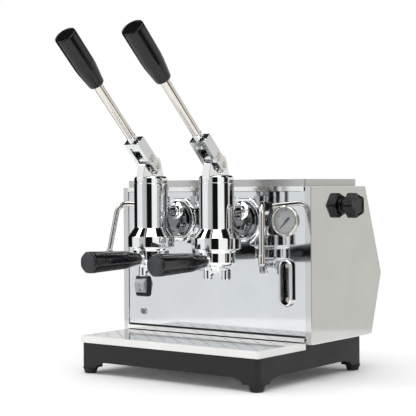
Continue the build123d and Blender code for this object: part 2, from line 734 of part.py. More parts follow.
# ---------------------------------------------------------------- the two groups
seal_z = 209.2            # underside of the group gasket
ceiling_z = 215.0         # roof of the bell
screen_z = 211.5
cap_r = cylinder_r - 0.4
valley_r = 10.0           # U between the cap's two horns
slab_half = 7.0           # half thickness of the horns, the roller and the piston-rod eye
window_half = 7.8         # half width of the window in the fork's front wall
fork_half = 14.3
fork_front = -9.7         # fork's box section across the lever, from its front face
fork_back = 8.3           # to its back face
fork_wall = 3.0           # cheeks
fork_skin = 1.9           # front and back walls
fork_end = 56.5
rod_pin_r = 3.0
rod_head_r = 4.35
roller_pin_r = 4.0
roller_head_r = 5.75
roller_r = 6.5

for side, sx in sides.items():
    gx = sx * group_x
    axis = Axis((gx, group_y, 0), (0, 0, 1))
    upright = Plane(origin=(gx, group_y, 0), x_dir=(1, 0, 0), z_dir=(0, -1, 0))

    # chrome casting: cylinder, flare, bell, neck and wall flange
    with BuildPart() as group_body:
        with BuildSketch(facing(panel_y - 0.1, gx, flange_z)) as group_flange:
            RegularPolygon(34.5, 8, major_radius=False, rotation=22.5)
            fillet(group_flange.vertices(), radius=6)
        extrude(amount=5)
        fillet(group_body.faces().sort_by(Axis.Y)[0].edges(), radius=1.5)
        with BuildSketch(upright):
            with BuildLine():
                Polyline((0, 199.5), (34.5, 199.5), (34.5, 200.5), (35.7, 200.5), (bell_r, 201.3),
                         (bell_r, flare_bottom_z), (cylinder_r, flare_top_z), (cylinder_r, cylinder_top_z),
                         (0, cylinder_top_z), close=True)
            make_face()
        revolve(axis=axis)
        with BuildSketch(facing(panel_y - 4, gx, neck_z)):
            Circle(neck_r + 3)
        extrude(amount=4)
        with BuildSketch(facing(panel_y - 0.1, gx, neck_z)):
            Circle(neck_r)
        extrude(amount=group_reach - 24)
        # stub through the panel to the boiler's boss
        with BuildSketch(facing(panel_y + 24.9, gx, neck_z - 16)):
            Circle(10)
        extrude(amount=25.5)
        # inlet block and plug on top of the neck
        with BuildSketch(Plane.XY.offset(neck_z)):
            with Locations((gx, panel_y - 39)):
                RegularPolygon(8.6, 6)
        extrude(amount=23)
        with BuildSketch(Plane.XY.offset(neck_z + 23)):
            with Locations((gx, panel_y - 39)):
                Circle(3.8)
        extrude(amount=9)
        with BuildSketch(Plane.XY.offset(neck_z + 32)):
            with Locations((gx, panel_y - 39)):
                RegularPolygon(6.4, 6)
        extrude(amount=6)
        with BuildSketch(Plane.XY.offset(neck_z + 34)):
            with Locations((gx, panel_y - 39)):
                Circle(2)
        extrude(amount=8, mode=Mode.SUBTRACT)
        # bore of the cylinder, the bell's hollow and the groove for the portafilter's ears
        with BuildSketch(upright):
            with BuildLine():
                Polyline((0, 190), (30.5, 190), (30.5, 203.2), (33.8, 203.2), (33.8, seal_z),
                         (31.2, seal_z), (31.2, ceiling_z), (bore_r, ceiling_z), (bore_r, cylinder_top_z + 5),
                         (0, cylinder_top_z + 5), close=True)
            make_face()
        revolve(axis=axis, mode=Mode.SUBTRACT)
        # entry notches for the ears, short of the locked place
        for turn in (-36, 144):
            with BuildSketch(Plane.XY.offset(198)):
                with Locations((gx, group_y)):
                    with Locations(Rotation(0, 0, turn)):
                        with Locations((32, 0)):
                            Rectangle(4.4, 25)
            extrude(amount=6, mode=Mode.SUBTRACT)
        # water passage from the boiler to the cylinder
        with BuildSketch(facing(panel_y + 26, gx, neck_z - 16)):
            Circle(5)
        extrude(amount=27.5, mode=Mode.SUBTRACT)
        with BuildSketch(Plane.XY.offset(neck_z - 16)):
            with Locations((gx, panel_y - 1.4)):
                Circle(3)
        extrude(amount=16, mode=Mode.SUBTRACT)
        with BuildSketch(facing(panel_y + 1, gx, neck_z)):
            Circle(4)
        extrude(amount=group_reach - 20, mode=Mode.SUBTRACT)
    keep(group_body, f"group_body_{side}")

    # screwed cap with the two horns that the lever works against
    with BuildPart() as group_cap:
        with BuildSketch(upright):
            with BuildLine():
                Polyline((0, cylinder_top_z), (cap_r, cylinder_top_z), (cap_r, cap_top_z), (0, cap_top_z),
                         close=True)
            make_face()
        revolve(axis=axis)
        fillet(group_cap.faces().sort_by(Axis.Z)[-1].edges(), radius=3.4)
        with BuildSketch(Plane(origin=(gx - slab_half, group_y, 0), x_dir=(0, 1, 0), z_dir=(1, 0, 0))):
            with BuildLine():
                horns = Polyline((-valley_r, 322.5), (-valley_r, 330), (-11, 331), (-19.5, 331), (-21.5, 329),
                                 (-24.4, 320), (-cap_r, 308), (-cap_r, 304), (23.5, 304), (23.3, 312),
                                 (15.6, 337.6), (13.8, 339.5), (11.2, 339.5), (valley_r, 338.2),
                                 (valley_r, 322.5))
                ThreePointArc(horns @ 1, (0, 322.5 - valley_r), horns @ 0)
            make_face()
        extrude(amount=2 * slab_half)
        with BuildSketch(Plane.XY.offset(cylinder_top_z - 1)):
            with Locations((gx, group_y)):
                Circle(rod_r + 0.08)
        extrude(amount=30, mode=Mode.SUBTRACT)
        # spring seat
        with BuildSketch(Plane.XY.offset(cylinder_top_z - 1)):
            with Locations((gx, group_y)):
                Circle(20)
        extrude(amount=3, mode=Mode.SUBTRACT)
    keep(group_cap, f"group_cap_{side}")

    # piston, its rod and the eye that the lever's pin passes through
    with BuildPart() as piston:
        with BuildSketch(upright):
            with BuildLine():
                Polyline((0, 216), (bore_r - 0.08, 216), (bore_r - 0.08, 219), (bore_r - 1.5, 219),
                         (bore_r - 1.5, 222), (bore_r - 0.08, 222), (bore_r - 0.08, 226), (bore_r - 1.5, 226),
                         (bore_r - 1.5, 229), (bore_r - 0.08, 229), (bore_r - 0.08, 232), (9, 232), (9, 235),
                         (rod_r, 235), (rod_r, 319.5), (0, 319.5), close=True)
            make_face()
        revolve(axis=axis)
        with BuildSketch(sideways(gx - slab_half, group_y, pin_z)):
            Circle(6.5)
            with Locations((0, -6.2)):
                Rectangle(2 * rod_r, 8)
        extrude(amount=2 * slab_half)
        with BuildSketch(sideways(gx - 20, group_y, pin_z)):
            Circle(rod_pin_r + running)
        extrude(amount=40, mode=Mode.SUBTRACT)
    keep(piston, f"piston_{side}")

    # main spring between the piston and the cap
    with BuildPart() as group_spring:
        wire_r = 2.1
        coil_r = 15.5
        low = 232.1 + wire_r
        high = cylinder_top_z + 1.9 - wire_r
        with BuildLine():
            coil = Helix(pitch=(high - low) / 6.5, height=high - low, radius=coil_r, center=(gx, group_y, low))
        with BuildSketch(Plane(origin=coil @ 0, z_dir=coil % 0)):
            Circle(wire_r)
        sweep(path=coil, is_frenet=True)
    keep(group_spring, f"group_spring_{side}")

    # lever parts share a plane through the piston-rod pin; its z runs up the lever
    tilt = radians(lever_tilt)
    lever = Plane(origin=(gx, group_y, pin_z), x_dir=(1, 0, 0), z_dir=(0, -sin(tilt), cos(tilt)))
    # seen from the side: x runs across the lever towards its back, y up along it
    cheek = Plane(origin=lever.origin, x_dir=lever.y_dir, z_dir=(1, 0, 0))

    with BuildPart() as lever_fork:
        with BuildSketch(cheek.offset(-fork_half)):
            Circle(8.5)
            Polygon((-8.5, 0), (fork_front, 14.5), (fork_front, fork_end), (fork_back, fork_end),
                    (fork_back, 14.5), (8.5, 0), align=None)
        extrude(amount=2 * fork_half)
        # hollow between the cheeks, below and above the block that holds the lever rod
        with BuildSketch(cheek.offset(-(fork_half - fork_wall))):
            Polygon((-20, -12), (-20, 14.5), (fork_front + fork_skin, 14.5), (fork_front + fork_skin, 40),
                    (fork_back - fork_skin, 40), (fork_back - fork_skin, 14.5), (20, 14.5), (20, -12), align=None)
            Polygon((fork_front + fork_skin, 50), (fork_front + fork_skin, 70), (fork_back - fork_skin, 70),
                    (fork_back - fork_skin, 50), align=None)
        extrude(amount=2 * (fork_half - fork_wall), mode=Mode.SUBTRACT)
        # window in the front wall: the front horn passes through it as the lever comes down
        with BuildSketch(cheek.offset(-window_half)):
            Polygon((-20, 10), (-20, 48), (fork_front + fork_skin + 0.05, 48), (fork_front + fork_skin + 0.05, 10),
                    align=None)
        extrude(amount=2 * window_half, mode=Mode.SUBTRACT)
        with BuildSketch(cheek.offset(-20)):
            Circle(rod_head_r + 0.02)
            with Locations((roller_off, roller_along)):
                Circle(roller_head_r + 0.02)
        extrude(amount=40, mode=Mode.SUBTRACT)
        # socket for the lever rod's tenon
        with BuildSketch(lever.offset(35)):
            with Locations((0, rod_offset)):
                Circle(5.02)
        extrude(amount=16, mode=Mode.SUBTRACT)
    keep(lever_fork, f"lever_fork_{side}")

    # two stepped pins: full size in the cheeks, thinner through the eye and the roller
    with BuildPart() as lever_pins:
        with BuildSketch(cheek.offset(-(fork_half + 0.3))):
            Circle(rod_head_r)
            with Locations((roller_off, roller_along)):
                Circle(roller_head_r)
        extrude(amount=2 * (fork_half + 0.3))
        with BuildSketch(cheek.offset(-(slab_half + 0.1))):
            Circle(9)
            Circle(rod_pin_r, mode=Mode.SUBTRACT)
        extrude(amount=2 * (slab_half + 0.1), mode=Mode.SUBTRACT)
        with BuildSketch(cheek.offset(-(slab_half + 0.1))):
            with Locations((roller_off, roller_along)):
                Circle(8)
                Circle(roller_pin_r, mode=Mode.SUBTRACT)
        extrude(amount=2 * (slab_half + 0.1), mode=Mode.SUBTRACT)
    keep(lever_pins, f"lever_pins_{side}")

    with BuildPart() as lever_roller:
        with BuildSketch(cheek.offset(-(slab_half - 0.1))):
            with Locations((roller_off, roller_along)):
                Circle(roller_r)
                Circle(roller_pin_r + running, mode=Mode.SUBTRACT)
        extrude(amount=2 * (slab_half - 0.1))
    keep(lever_roller, f"lever_roller_{side}")

    # stainless rod with a plated lower sleeve, tenoned into the fork and the grip
    with BuildPart() as lever_rod:
        for start, end, radius in ((40, 50, 5.0), (50, 67, 7.0), (67, 172, 7.1), (172, 245, 5.0)):
            with BuildSketch(lever.offset(start)):
                with Locations((0, rod_offset)):
                    Circle(radius)
            extrude(amount=end - start)
    keep(lever_rod, f"lever_rod_{side}")

    with BuildPart() as lever_grip:
        grip = Plane(origin=lever.origin + lever.y_dir * rod_offset, x_dir=(1, 0, 0), z_dir=lever.y_dir * -1)
        with BuildSketch(grip):
            with BuildLine():
                g1 = Line((5.02, 172), (10.6, 172))
                g2 = ThreePointArc(g1 @ 1, (11.8, 172.5), (12.2, 174))
                g3 = Line(g2 @ 1, (16.4, 207))
                g4 = Line(g3 @ 1, (grip_r, lever_length - 1))
                g5 = Line(g4 @ 1, (grip_r - 0.8, lever_length))
                g6 = Line(g5 @ 1, (grip_r - 2.3, lever_length - 0.8))
                g7 = Line(g6 @ 1, (0, lever_length - 0.8))
                g8 = Line(g7 @ 1, (0, 246))
                g9 = Line(g8 @ 1, (5.02, 246))
                Line(g9 @ 1, g1 @ 0)
            make_face()
        revolve(axis=Axis(grip.origin, lever.z_dir))
    keep(lever_grip, f"lever_grip_{side}")

    # portafilter: bowl with ears and arm, basket, spout, handle
    with BuildPart() as portafilter_body:
        with BuildSketch(upright):
            with BuildLine():
                Polyline((0, 175), (23, 175), (26, 176.2), (27.6, 178.6), (28, 182), (28, 196), (29.8, 199),
                         (29.8, 208), (0, 208), close=True)
            make_face()
        revolve(axis=axis)
        with BuildSketch(Plane.XY.offset(168)):
            with Locations((gx, group_y)):
                Circle(8)
        extrude(amount=10)
        # ears of the bayonet
        with BuildSketch(Plane.XY.offset(203.8)):
            with Locations((gx, group_y)):
                Circle(33.2)
                Rectangle(80, 22, mode=Mode.INTERSECT)
        extrude(amount=4)
        # arm, its collar with a lug on top, and the stud inside the handle
        with BuildSketch(facing(group_y - 20, gx, handle_z)):
            Circle(8.2)
        extrude(amount=13.6)
        with BuildSketch(facing(group_y - 26, gx, handle_z)):
            Circle(9)
            with Locations((0, 9)):
                Rectangle(5, 4)
        extrude(amount=7.6)
        with BuildSketch(facing(group_y - 33.6, gx, handle_z)):
            Circle(5)
        extrude(amount=24)
        with BuildSketch(upright):
            with BuildLine():
                Polyline((0, 160), (3.5, 160), (3.5, 179), (25.8, 181), (25.8, 215), (0, 215), close=True)
            make_face()
        revolve(axis=axis, mode=Mode.SUBTRACT)
    keep(portafilter_body, f"portafilter_body_{side}")

    with BuildPart() as portafilter_basket:
        with BuildSketch(upright):
            with BuildLine():
                Polyline((0, 184), (24.2, 184), (25.5, 186), (25.5, 208), (29.6, 208), (29.6, 208.9),
                         (24.7, 208.9), (24.7, 186.4), (23.8, 184.8), (0, 184.8), close=True)
            make_face()
        revolve(axis=axis)
        # drain perforations
        with BuildSketch(Plane.XY.offset(183)):
            with Locations((gx, group_y)):
                with PolarLocations(16, 12):
                    Circle(0.8)
                with PolarLocations(9, 8):
                    Circle(0.8)
        extrude(amount=3, mode=Mode.SUBTRACT)
    keep(portafilter_basket, f"portafilter_basket_{side}")

    with BuildPart() as portafilter_spout:
        # collar under the bowl, cross bar and two downturned outlets
        with BuildSketch(Plane.XY.offset(164)):
            with Locations((gx, group_y)):
                Circle(11)
        extrude(amount=10.6)
        with BuildSketch(Plane.XY.offset(162.5)):
            with Locations((gx, group_y)):
                SlotOverall(47, 13)
        extrude(amount=7)
        with BuildSketch(Plane.XY.offset(154.5)):
            with Locations((gx - 16.8, group_y), (gx + 16.8, group_y)):
                Circle(6.5)
        extrude(amount=9)
        with BuildSketch(Plane.XY.offset(154)):
            with Locations((gx - 16.8, group_y), (gx + 16.8, group_y)):
                Circle(4.4)
        extrude(amount=10.5, mode=Mode.SUBTRACT)
        # passage from the bowl to the two outlets
        with BuildSketch(Plane.XY.offset(164.4)):
            with Locations((gx, group_y)):
                SlotOverall(41, 7)
        extrude(amount=3.2, mode=Mode.SUBTRACT)
        with BuildSketch(Plane.XY.offset(167.5)):
            with Locations((gx, group_y)):
                Circle(8.05)
        extrude(amount=10, mode=Mode.SUBTRACT)
    keep(portafilter_spout, f"portafilter_spout_{side}")

    with BuildPart() as portafilter_handle:
        with BuildSketch(Plane(origin=(gx, group_y, handle_z), x_dir=(0, -1, 0), z_dir=(1, 0, 0))):
            with BuildLine():
                p1 = Line((33.7, 5.05), (33.7, 8.8))
                p2 = Spline(p1 @ 1, (48, 11.2), (64.7, 14.0), tangents=[(1, 0.05), (1, 0.06)])
                p3 = Line(p2 @ 1, (handle_end - 3, 16.8))
                p4 = ThreePointArc(p3 @ 1, (handle_end - 0.9, 16.0), (handle_end, 14.0))
                p5 = Line(p4 @ 1, (handle_end, 0))
                p6 = Line(p5 @ 1, (58, 0))
                p7 = Line(p6 @ 1, (58, 5.05))
                Line(p7 @ 1, p1 @ 0)
            make_face()
        revolve(axis=Axis((gx, group_y, handle_z), (0, -1, 0)))
    keep(portafilter_handle, f"portafilter_handle_{side}")

with BuildPart() as group_gaskets:
    with BuildSketch(Plane.XY.offset(seal_z)):
        with Locations((-group_x, group_y), (group_x, group_y)):
            Circle(31)
            Circle(25.6, mode=Mode.SUBTRACT)
    extrude(amount=ceiling_z - seal_z - 0.1)
keep(group_gaskets, "group_gaskets")

with BuildPart() as shower_screens:
    with BuildSketch(Plane.XY.offset(screen_z)):
        with Locations((-group_x, group_y), (group_x, group_y)):
            Circle(25.3)
    extrude(amount=ceiling_z - screen_z - 0.1)
    with BuildSketch(Plane.XY.offset(screen_z + 1)):
        with Locations((-group_x, group_y), (group_x, group_y)):
            Circle(24.3)
    extrude(amount=10, mode=Mode.SUBTRACT)
    with BuildSketch(Plane.XY.offset(screen_z - 1)):
        for x in (-group_x, group_x):
            with Locations((x, group_y)):
                for ring, count in ((6, 6), (12, 12), (18, 18)):
                    with PolarLocations(ring, count):
                        Circle(1)
    extrude(amount=3, mode=Mode.SUBTRACT)
keep(shower_screens, "shower_screens")
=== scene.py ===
import math
from math import cos, pi, radians, sin

import bmesh
import bpy
from mathutils import Matrix, Vector


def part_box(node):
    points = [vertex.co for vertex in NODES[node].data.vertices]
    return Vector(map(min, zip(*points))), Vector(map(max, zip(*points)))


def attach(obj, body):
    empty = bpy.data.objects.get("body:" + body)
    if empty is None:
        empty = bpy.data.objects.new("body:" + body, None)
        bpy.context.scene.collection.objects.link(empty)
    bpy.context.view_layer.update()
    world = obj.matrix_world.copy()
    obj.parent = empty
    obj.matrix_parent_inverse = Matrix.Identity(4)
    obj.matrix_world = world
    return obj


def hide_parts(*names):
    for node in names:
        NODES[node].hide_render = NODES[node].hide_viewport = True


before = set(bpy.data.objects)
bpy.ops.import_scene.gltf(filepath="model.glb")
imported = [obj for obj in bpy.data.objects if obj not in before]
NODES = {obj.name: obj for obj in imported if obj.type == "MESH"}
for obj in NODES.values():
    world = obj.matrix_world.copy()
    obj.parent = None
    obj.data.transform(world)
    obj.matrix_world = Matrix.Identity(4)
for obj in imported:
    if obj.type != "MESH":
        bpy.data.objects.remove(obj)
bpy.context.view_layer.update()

MM = 0.001
SIDES = (("left", -1.0), ("right", 1.0))


def low(node):
    """Lowest corner of a CAD node, in millimetres."""
    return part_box(node)[0] / MM


def high(node):
    """Highest corner of a CAD node, in millimetres."""
    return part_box(node)[1] / MM


def middle(node):
    return (low(node) + high(node)) / 2


PANEL = low("front_panel").y
GROUP_X = middle("group_body_right").x
GROUP_Y = middle("portafilter_basket_right").y
NECK_Z = 256.0
FLANGE_Z = 241.5
HANDLE_Z = middle("portafilter_handle_right").z
PIN_Z = 326.2

# ------------------------------------------------------------------ materials


class Shade:
    """A small builder for one procedural material around a Principled shader."""

    def __init__(self, name, color, rough, metal=0.0, **sockets):
        self.mat = bpy.data.materials.new(name)
        self.mat.use_nodes = True
        self.tree = self.mat.node_tree
        self.bsdf = self.tree.nodes["Principled BSDF"]
        self.bsdf.inputs["Base Color"].default_value = (*color, 1)
        self.bsdf.inputs["Roughness"].default_value = rough
        self.bsdf.inputs["Metallic"].default_value = metal
        for key, value in sockets.items():
            self.bsdf.inputs[key.replace("_", " ")].default_value = value
        self.place = self.node("ShaderNodeTexCoord").outputs["Object"]
        self.bumps = None

    def node(self, kind, **values):
        made = self.tree.nodes.new(kind)
        for key, value in values.items():
            if hasattr(made, key):
                setattr(made, key, value)
            else:
                made.inputs[key].default_value = value
        return made

    def link(self, a, b):
        self.tree.links.new(a, b)

    def stretched(self, scale):
        mapping = self.node("ShaderNodeMapping")
        mapping.inputs["Scale"].default_value = scale
        self.link(self.place, mapping.inputs["Vector"])
        return mapping.outputs["Vector"]

    def noise(self, scale, detail=4.0, rough=0.55, stretch=None):
        made = self.node("ShaderNodeTexNoise")
        made.inputs["Scale"].default_value = scale
        made.inputs["Detail"].default_value = detail
        made.inputs["Roughness"].default_value = rough
        self.link(self.stretched(stretch) if stretch else self.place, made.inputs["Vector"])
        return made.outputs["Fac"]

    def cells(self, scale, stretch=None):
        made = self.node("ShaderNodeTexVoronoi")
        made.inputs["Scale"].default_value = scale
        self.link(self.stretched(stretch) if stretch else self.place, made.inputs["Vector"])
        return made.outputs["Distance"]

    def ramp(self, fac, *stops):
        made = self.node("ShaderNodeValToRGB")
        elements = made.color_ramp.elements
        while len(elements) < len(stops):
            elements.new(0.5)
        for element, (at, value) in zip(elements, stops):
            element.position = at
            element.color = (*value, 1) if hasattr(value, "__len__") else (value, value, value, 1)
        self.link(fac, made.inputs["Fac"])
        return made.outputs["Color"]

    def span(self, fac, lowest, highest):
        """fac from 0..1 stretched to lowest..highest."""
        made = self.node("ShaderNodeMapRange")
        made.inputs["From Min"].default_value = 0.3
        made.inputs["From Max"].default_value = 0.7
        made.inputs["To Min"].default_value = lowest
        made.inputs["To Max"].default_value = highest
        self.link(fac, made.inputs["Value"])
        return made.outputs["Result"]

    def times(self, a, b, mode="MULTIPLY"):
        made = self.node("ShaderNodeMath", operation=mode)
        for socket, value in zip(made.inputs, (a, b)):
            if isinstance(value, (int, float)):
                socket.default_value = value
            else:
                self.link(value, socket)
        return made.outputs["Value"]

    def mix(self, fac, a, b):
        made = self.node("ShaderNodeMix", data_type="RGBA")
        for index, value in ((0, fac), (6, a), (7, b)):
            if isinstance(value, (int, float)):
                made.inputs[index].default_value = value
            elif isinstance(value, (tuple, list)):
                made.inputs[index].default_value = (*value, 1)
            else:
                self.link(value, made.inputs[index])
        return made.outputs[2]

    def color(self, socket):
        self.link(socket, self.bsdf.inputs["Base Color"])
        return self

    def rough(self, socket):
        self.link(socket, self.bsdf.inputs["Roughness"])
        return self

    def bump(self, height, strength, distance):
        made = self.node("ShaderNodeBump")
        made.inputs["Strength"].default_value = strength
        made.inputs["Distance"].default_value = distance
        self.link(height, made.inputs["Height"])
        if self.bumps is not None:
            self.link(self.bumps, made.inputs["Normal"])
        self.bumps = made.outputs["Normal"]
        self.link(self.bumps, self.bsdf.inputs["Normal"])
        return self


def polished(name, color, rough, smudge=0.05, scratch=0.02, wave=0.0, tint=None, hairs=0.02):
    """Bright metal: faint handling marks, hairline scratches, and a little waviness in sheet.
    hairs is the strength of the scratches' relief."""
    s = Shade(name, color, rough, 1.0)
    marks = s.noise(38.0, 5.0, 0.6)
    hair = s.noise(900.0, 2.0, 0.5, (1.0, 0.03, 0.6))
    level = s.times(s.span(marks, rough * 0.7, rough + smudge), s.times(hair, scratch), "ADD")
    s.rough(level)
    worn = tint or tuple(c * 0.93 for c in color)
    s.color(s.mix(s.span(s.noise(14.0, 3.0), 0.0, 1.0), color, worn))
    s.bump(hair, hairs, 0.00002)
    if wave:
        s.bump(s.noise(7.0, 1.0, 0.3), wave, 0.002)
    return s.mat


def brushed(name, color, rough, grain=(1.0, 60.0, 60.0), depth=0.12):
    """Directional brushed sheet."""
    s = Shade(name, color, rough, 1.0)
    lines = s.noise(26.0, 6.0, 0.7, grain)
    fine = s.noise(120.0, 4.0, 0.7, grain)
    s.rough(s.times(s.span(lines, rough * 0.8, rough * 1.25), s.times(fine, 0.06), "ADD"))
    darker = tuple(c * 0.9 for c in color)
    lighter = tuple(min(1, c * 1.06) for c in color)
    s.color(s.mix(s.span(lines, 0.0, 1.0), darker, lighter))
    s.bump(fine, depth, 0.00006)
    return s.mat


def plastic(name, color, rough, grain=2200.0, depth=0.05, coat=0.0):
    """Moulded or turned plastic: fine grain, dust and softer patches from handling."""
    s = Shade(name, color, rough, 0.0, Coat_Weight=coat, Coat_Roughness=0.05, Specular_IOR_Level=0.4)
    patches = s.noise(30.0, 4.0)
    s.rough(s.span(patches, rough * 0.8, rough * 1.3 + 0.02))
    dust = s.noise(260.0, 6.0, 0.75)
    lighter = tuple(min(1.0, c * 1.3 + 0.002) for c in color)
    s.color(s.mix(s.ramp(dust, (0.55, 0.0), (0.85, 1.0)), color, lighter))
    s.bump(s.noise(grain, 2.0), depth, 0.00005)
    return s.mat


def cast(name, color):
    """Coated casting: orange-peel skin and a cloudy, uneven tone."""
    s = Shade(name, color, 0.42, 0.0, Specular_IOR_Level=0.25)
    skin = s.noise(700.0, 3.0, 0.6)
    cloud = s.noise(22.0, 5.0)
    s.rough(s.span(cloud, 0.36, 0.55))
    s.color(s.mix(s.span(cloud, 0.0, 1.0), color, tuple(c * 1.35 for c in color)))
    s.bump(skin, 0.25, 0.00012)
    s.bump(s.cells(420.0), 0.06, 0.0001)
    return s.mat


def rubber(name, color):
    s = Shade(name, color, 0.75, 0.0, Specular_IOR_Level=0.3)
    s.rough(s.span(s.noise(60.0, 4.0), 0.6, 0.9))
    s.color(s.mix(s.noise(180.0, 5.0), color, tuple(c * 1.7 for c in color)))
    s.bump(s.noise(1500.0, 2.0), 0.2, 0.0001)
    return s.mat


M = {
    "chrome": polished("chrome_plate", (0.88, 0.885, 0.89), 0.025, 0.03, 0.02),
    "dome": polished("dome_plate", (0.20, 0.205, 0.21), 0.06, 0.04, 0.03),
    "panel": polished("mirror_sheet", (0.715, 0.735, 0.745), 0.03, 0.03, 0.03, 0.012),
    "side": polished("side_sheet", (0.615, 0.615, 0.60), 0.045, 0.03, 0.03, 0.002),
    "trim": polished("folded_trim", (0.88, 0.88, 0.865), 0.10, 0.06, 0.05),
    "tray": polished("tray_sheet", (0.76, 0.76, 0.745), 0.06, 0.05, 0.05, 0.006),
    "lid": brushed("brushed_lid", (0.56, 0.555, 0.535), 0.28),
    "fork": polished("fork_plate", (0.72, 0.735, 0.74), 0.15, 0.05, 0.04),
    "rod": polished("rod_steel", (0.74, 0.70, 0.65), 0.13, 0.02, 0.0, hairs=0.001),
    "wand": polished("wand_steel", (0.72, 0.695, 0.655), 0.10, 0.06, 0.05),
    "nickel": polished("pin_nickel", (0.60, 0.575, 0.54), 0.24, 0.03, 0.03),
    "steel": brushed("spring_steel", (0.50, 0.50, 0.50), 0.30),
    "copper": polished("boiler_copper", (0.74, 0.40, 0.26), 0.26, 0.12, 0.05, 0.0, (0.42, 0.24, 0.17)),
    "brass": polished("fitting_brass", (0.72, 0.55, 0.28), 0.22, 0.1, 0.05, 0.0, (0.5, 0.38, 0.2)),
    "cast": cast("cast_coat", (0.0125, 0.0128, 0.0135)),
    "rubber": rubber("foot_rubber", (0.013, 0.013, 0.014)),
    "grip": plastic("turned_grip", (0.0045, 0.0045, 0.005), 0.15, 1600.0, 0.01, 0.0),
    "handle": plastic("moulded_handle", (0.007, 0.007, 0.008), 0.13, 1800.0, 0.02, 0.15),
    "cap_end": plastic("handle_end", (0.030, 0.031, 0.034), 0.38, 2000.0, 0.05),
    "knob": plastic("moulded_knob", (0.0055, 0.0055, 0.006), 0.36, 2000.0, 0.05),
    "black": plastic("black_moulding", (0.008, 0.008, 0.009), 0.35, 2400.0, 0.05),
    "rocker": plastic("rocker_grey", (0.36, 0.37, 0.375), 0.32, 2400.0, 0.04),
    "ink": plastic("mark_ink", (0.03, 0.03, 0.032), 0.5),
    "lens": plastic("lamp_lens", (0.17, 0.18, 0.19), 0.16, 900.0, 0.1, 0.6),
    "dial": plastic("dial_face", (0.40, 0.42, 0.43), 0.5, 2600.0, 0.03),
    "tan": plastic("dial_dots", (0.42, 0.30, 0.20), 0.5),
    "dark": plastic("slot_shadow", (0.004, 0.004, 0.004), 0.7),
}


def clear(name):
    s = Shade(name, (0.9, 0.93, 0.93), 0.02, 0.0, Alpha=0.05, IOR=1.5)
    s.rough(s.span(s.noise(40.0, 4.0), 0.005, 0.05))
    s.bump(s.noise(30.0, 2.0), 0.01, 0.0005)
    return s.mat


M["glass"] = clear("clear_glass")

# ------------------------------------------------------------------ mesh helpers
# turn a prism drawn in the XY plane: its length along X, or its outline stood upright
SIDEWAYS = Matrix(((0, 0, 1, 0), (1, 0, 0, 0), (0, 1, 0, 0), (0, 0, 0, 1)))
UPENDED = Matrix(((1, 0, 0, 0), (0, 0, 1, 0), (0, 1, 0, 0), (0, 0, 0, 1)))


def piece(name, verts, faces, mat, body="machine", replaces=(), bevel=0.0, angle=35.0,
          smooth=True, matrix=None, segments=3):
    """One mesh piece from points in millimetres."""
    mesh = bpy.data.meshes.new(name)
    mesh.from_pydata([Vector(v) * MM for v in verts], [], faces)
    obj = bpy.data.objects.new(name, mesh)
    bpy.context.scene.collection.objects.link(obj)
    if matrix is not None:
        mesh.transform(matrix)
    clean = bmesh.new()
    clean.from_mesh(mesh)
    bmesh.ops.remove_doubles(clean, verts=clean.verts, dist=1e-6)
    bmesh.ops.recalc_face_normals(clean, faces=clean.faces)
    clean.to_mesh(mesh)
    clean.free()
    mesh.materials.append(M[mat] if isinstance(mat, str) else mat)
    if smooth:
        for polygon in mesh.polygons:
            polygon.use_smooth = True
        crease(obj, angle)
    if bevel:
        rounded(obj, bevel, angle, segments)
    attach(obj, body)
    if replaces:
        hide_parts(*replaces)
    return obj


def crease(obj, angle):
    """Marks edges sharper than the angle, so that smooth shading stops there."""
    mesh = obj.data
    work = bmesh.new()
    work.from_mesh(mesh)
    limit = radians(angle)
    for edge in work.edges:
        if len(edge.link_faces) == 2:
            edge.smooth = edge.calc_face_angle(0) < limit
        else:
            edge.smooth = False
    work.to_mesh(mesh)
    work.free()


def rounded(obj, width, angle=35.0, segments=3):
    made = obj.modifiers.new("edges", "BEVEL")
    made.width = width * MM
    made.segments = segments
    made.limit_method = "ANGLE"
    made.angle_limit = radians(angle)
    made.harden_normals = False
    made.use_clamp_overlap = True
    made.miter_outer = "MITER_ARC"
    normals = obj.modifiers.new("normals", "WEIGHTED_NORMAL")
    normals.keep_sharp = False
    normals.weight = 80
    return obj


def upright(x, y, z=0.0):
    """Local z stays up; the origin moves to a point in millimetres."""
    return Matrix.Translation(Vector((x, y, z)) * MM)


def facing(x, y, z):
    """Local z points out of the front (-Y), local x to the right, local y up."""
    turn = Matrix(((1, 0, 0, 0), (0, 0, -1, 0), (0, 1, 0, 0), (0, 0, 0, 1)))
    return Matrix.Translation(Vector((x, y, z)) * MM) @ turn


def outward(x, y, z, sx):
    """Local z points out along X on that side, local x backwards, local y up."""
    turn = Matrix(((0, 0, sx, 0), (1, 0, 0, 0), (0, 1, 0, 0), (0, 0, 0, 1)))
    return Matrix.Translation(Vector((x, y, z)) * MM) @ turn


def lathe(profile, steps=96, shape=None):
    """Points and faces of a profile [(radius, height)] turned about local z.
    shape(angle, radius, height) may change the radius."""
    verts, faces = [], []
    rings = []
    for radius, height in profile:
        if radius < 1e-6:
            rings.append([len(verts)])
            verts.append((0, 0, height))
            continue
        ring = []
        for i in range(steps):
            a = 2 * pi * i / steps
            r = shape(a, radius, height) if shape else radius
            ring.append(len(verts))
            verts.append((r * cos(a), r * sin(a), height))
        rings.append(ring)
    for a, b in zip(rings, rings[1:]):
        for i in range(steps):
            j = (i + 1) % steps
            if len(a) == 1 and len(b) == 1:
                break
            if len(a) == 1:
                faces.append((a[0], b[i], b[j]))
            elif len(b) == 1:
                faces.append((a[i], b[0], a[j]))
            else:
                faces.append((a[i], b[i], b[j], a[j]))
    return verts, faces


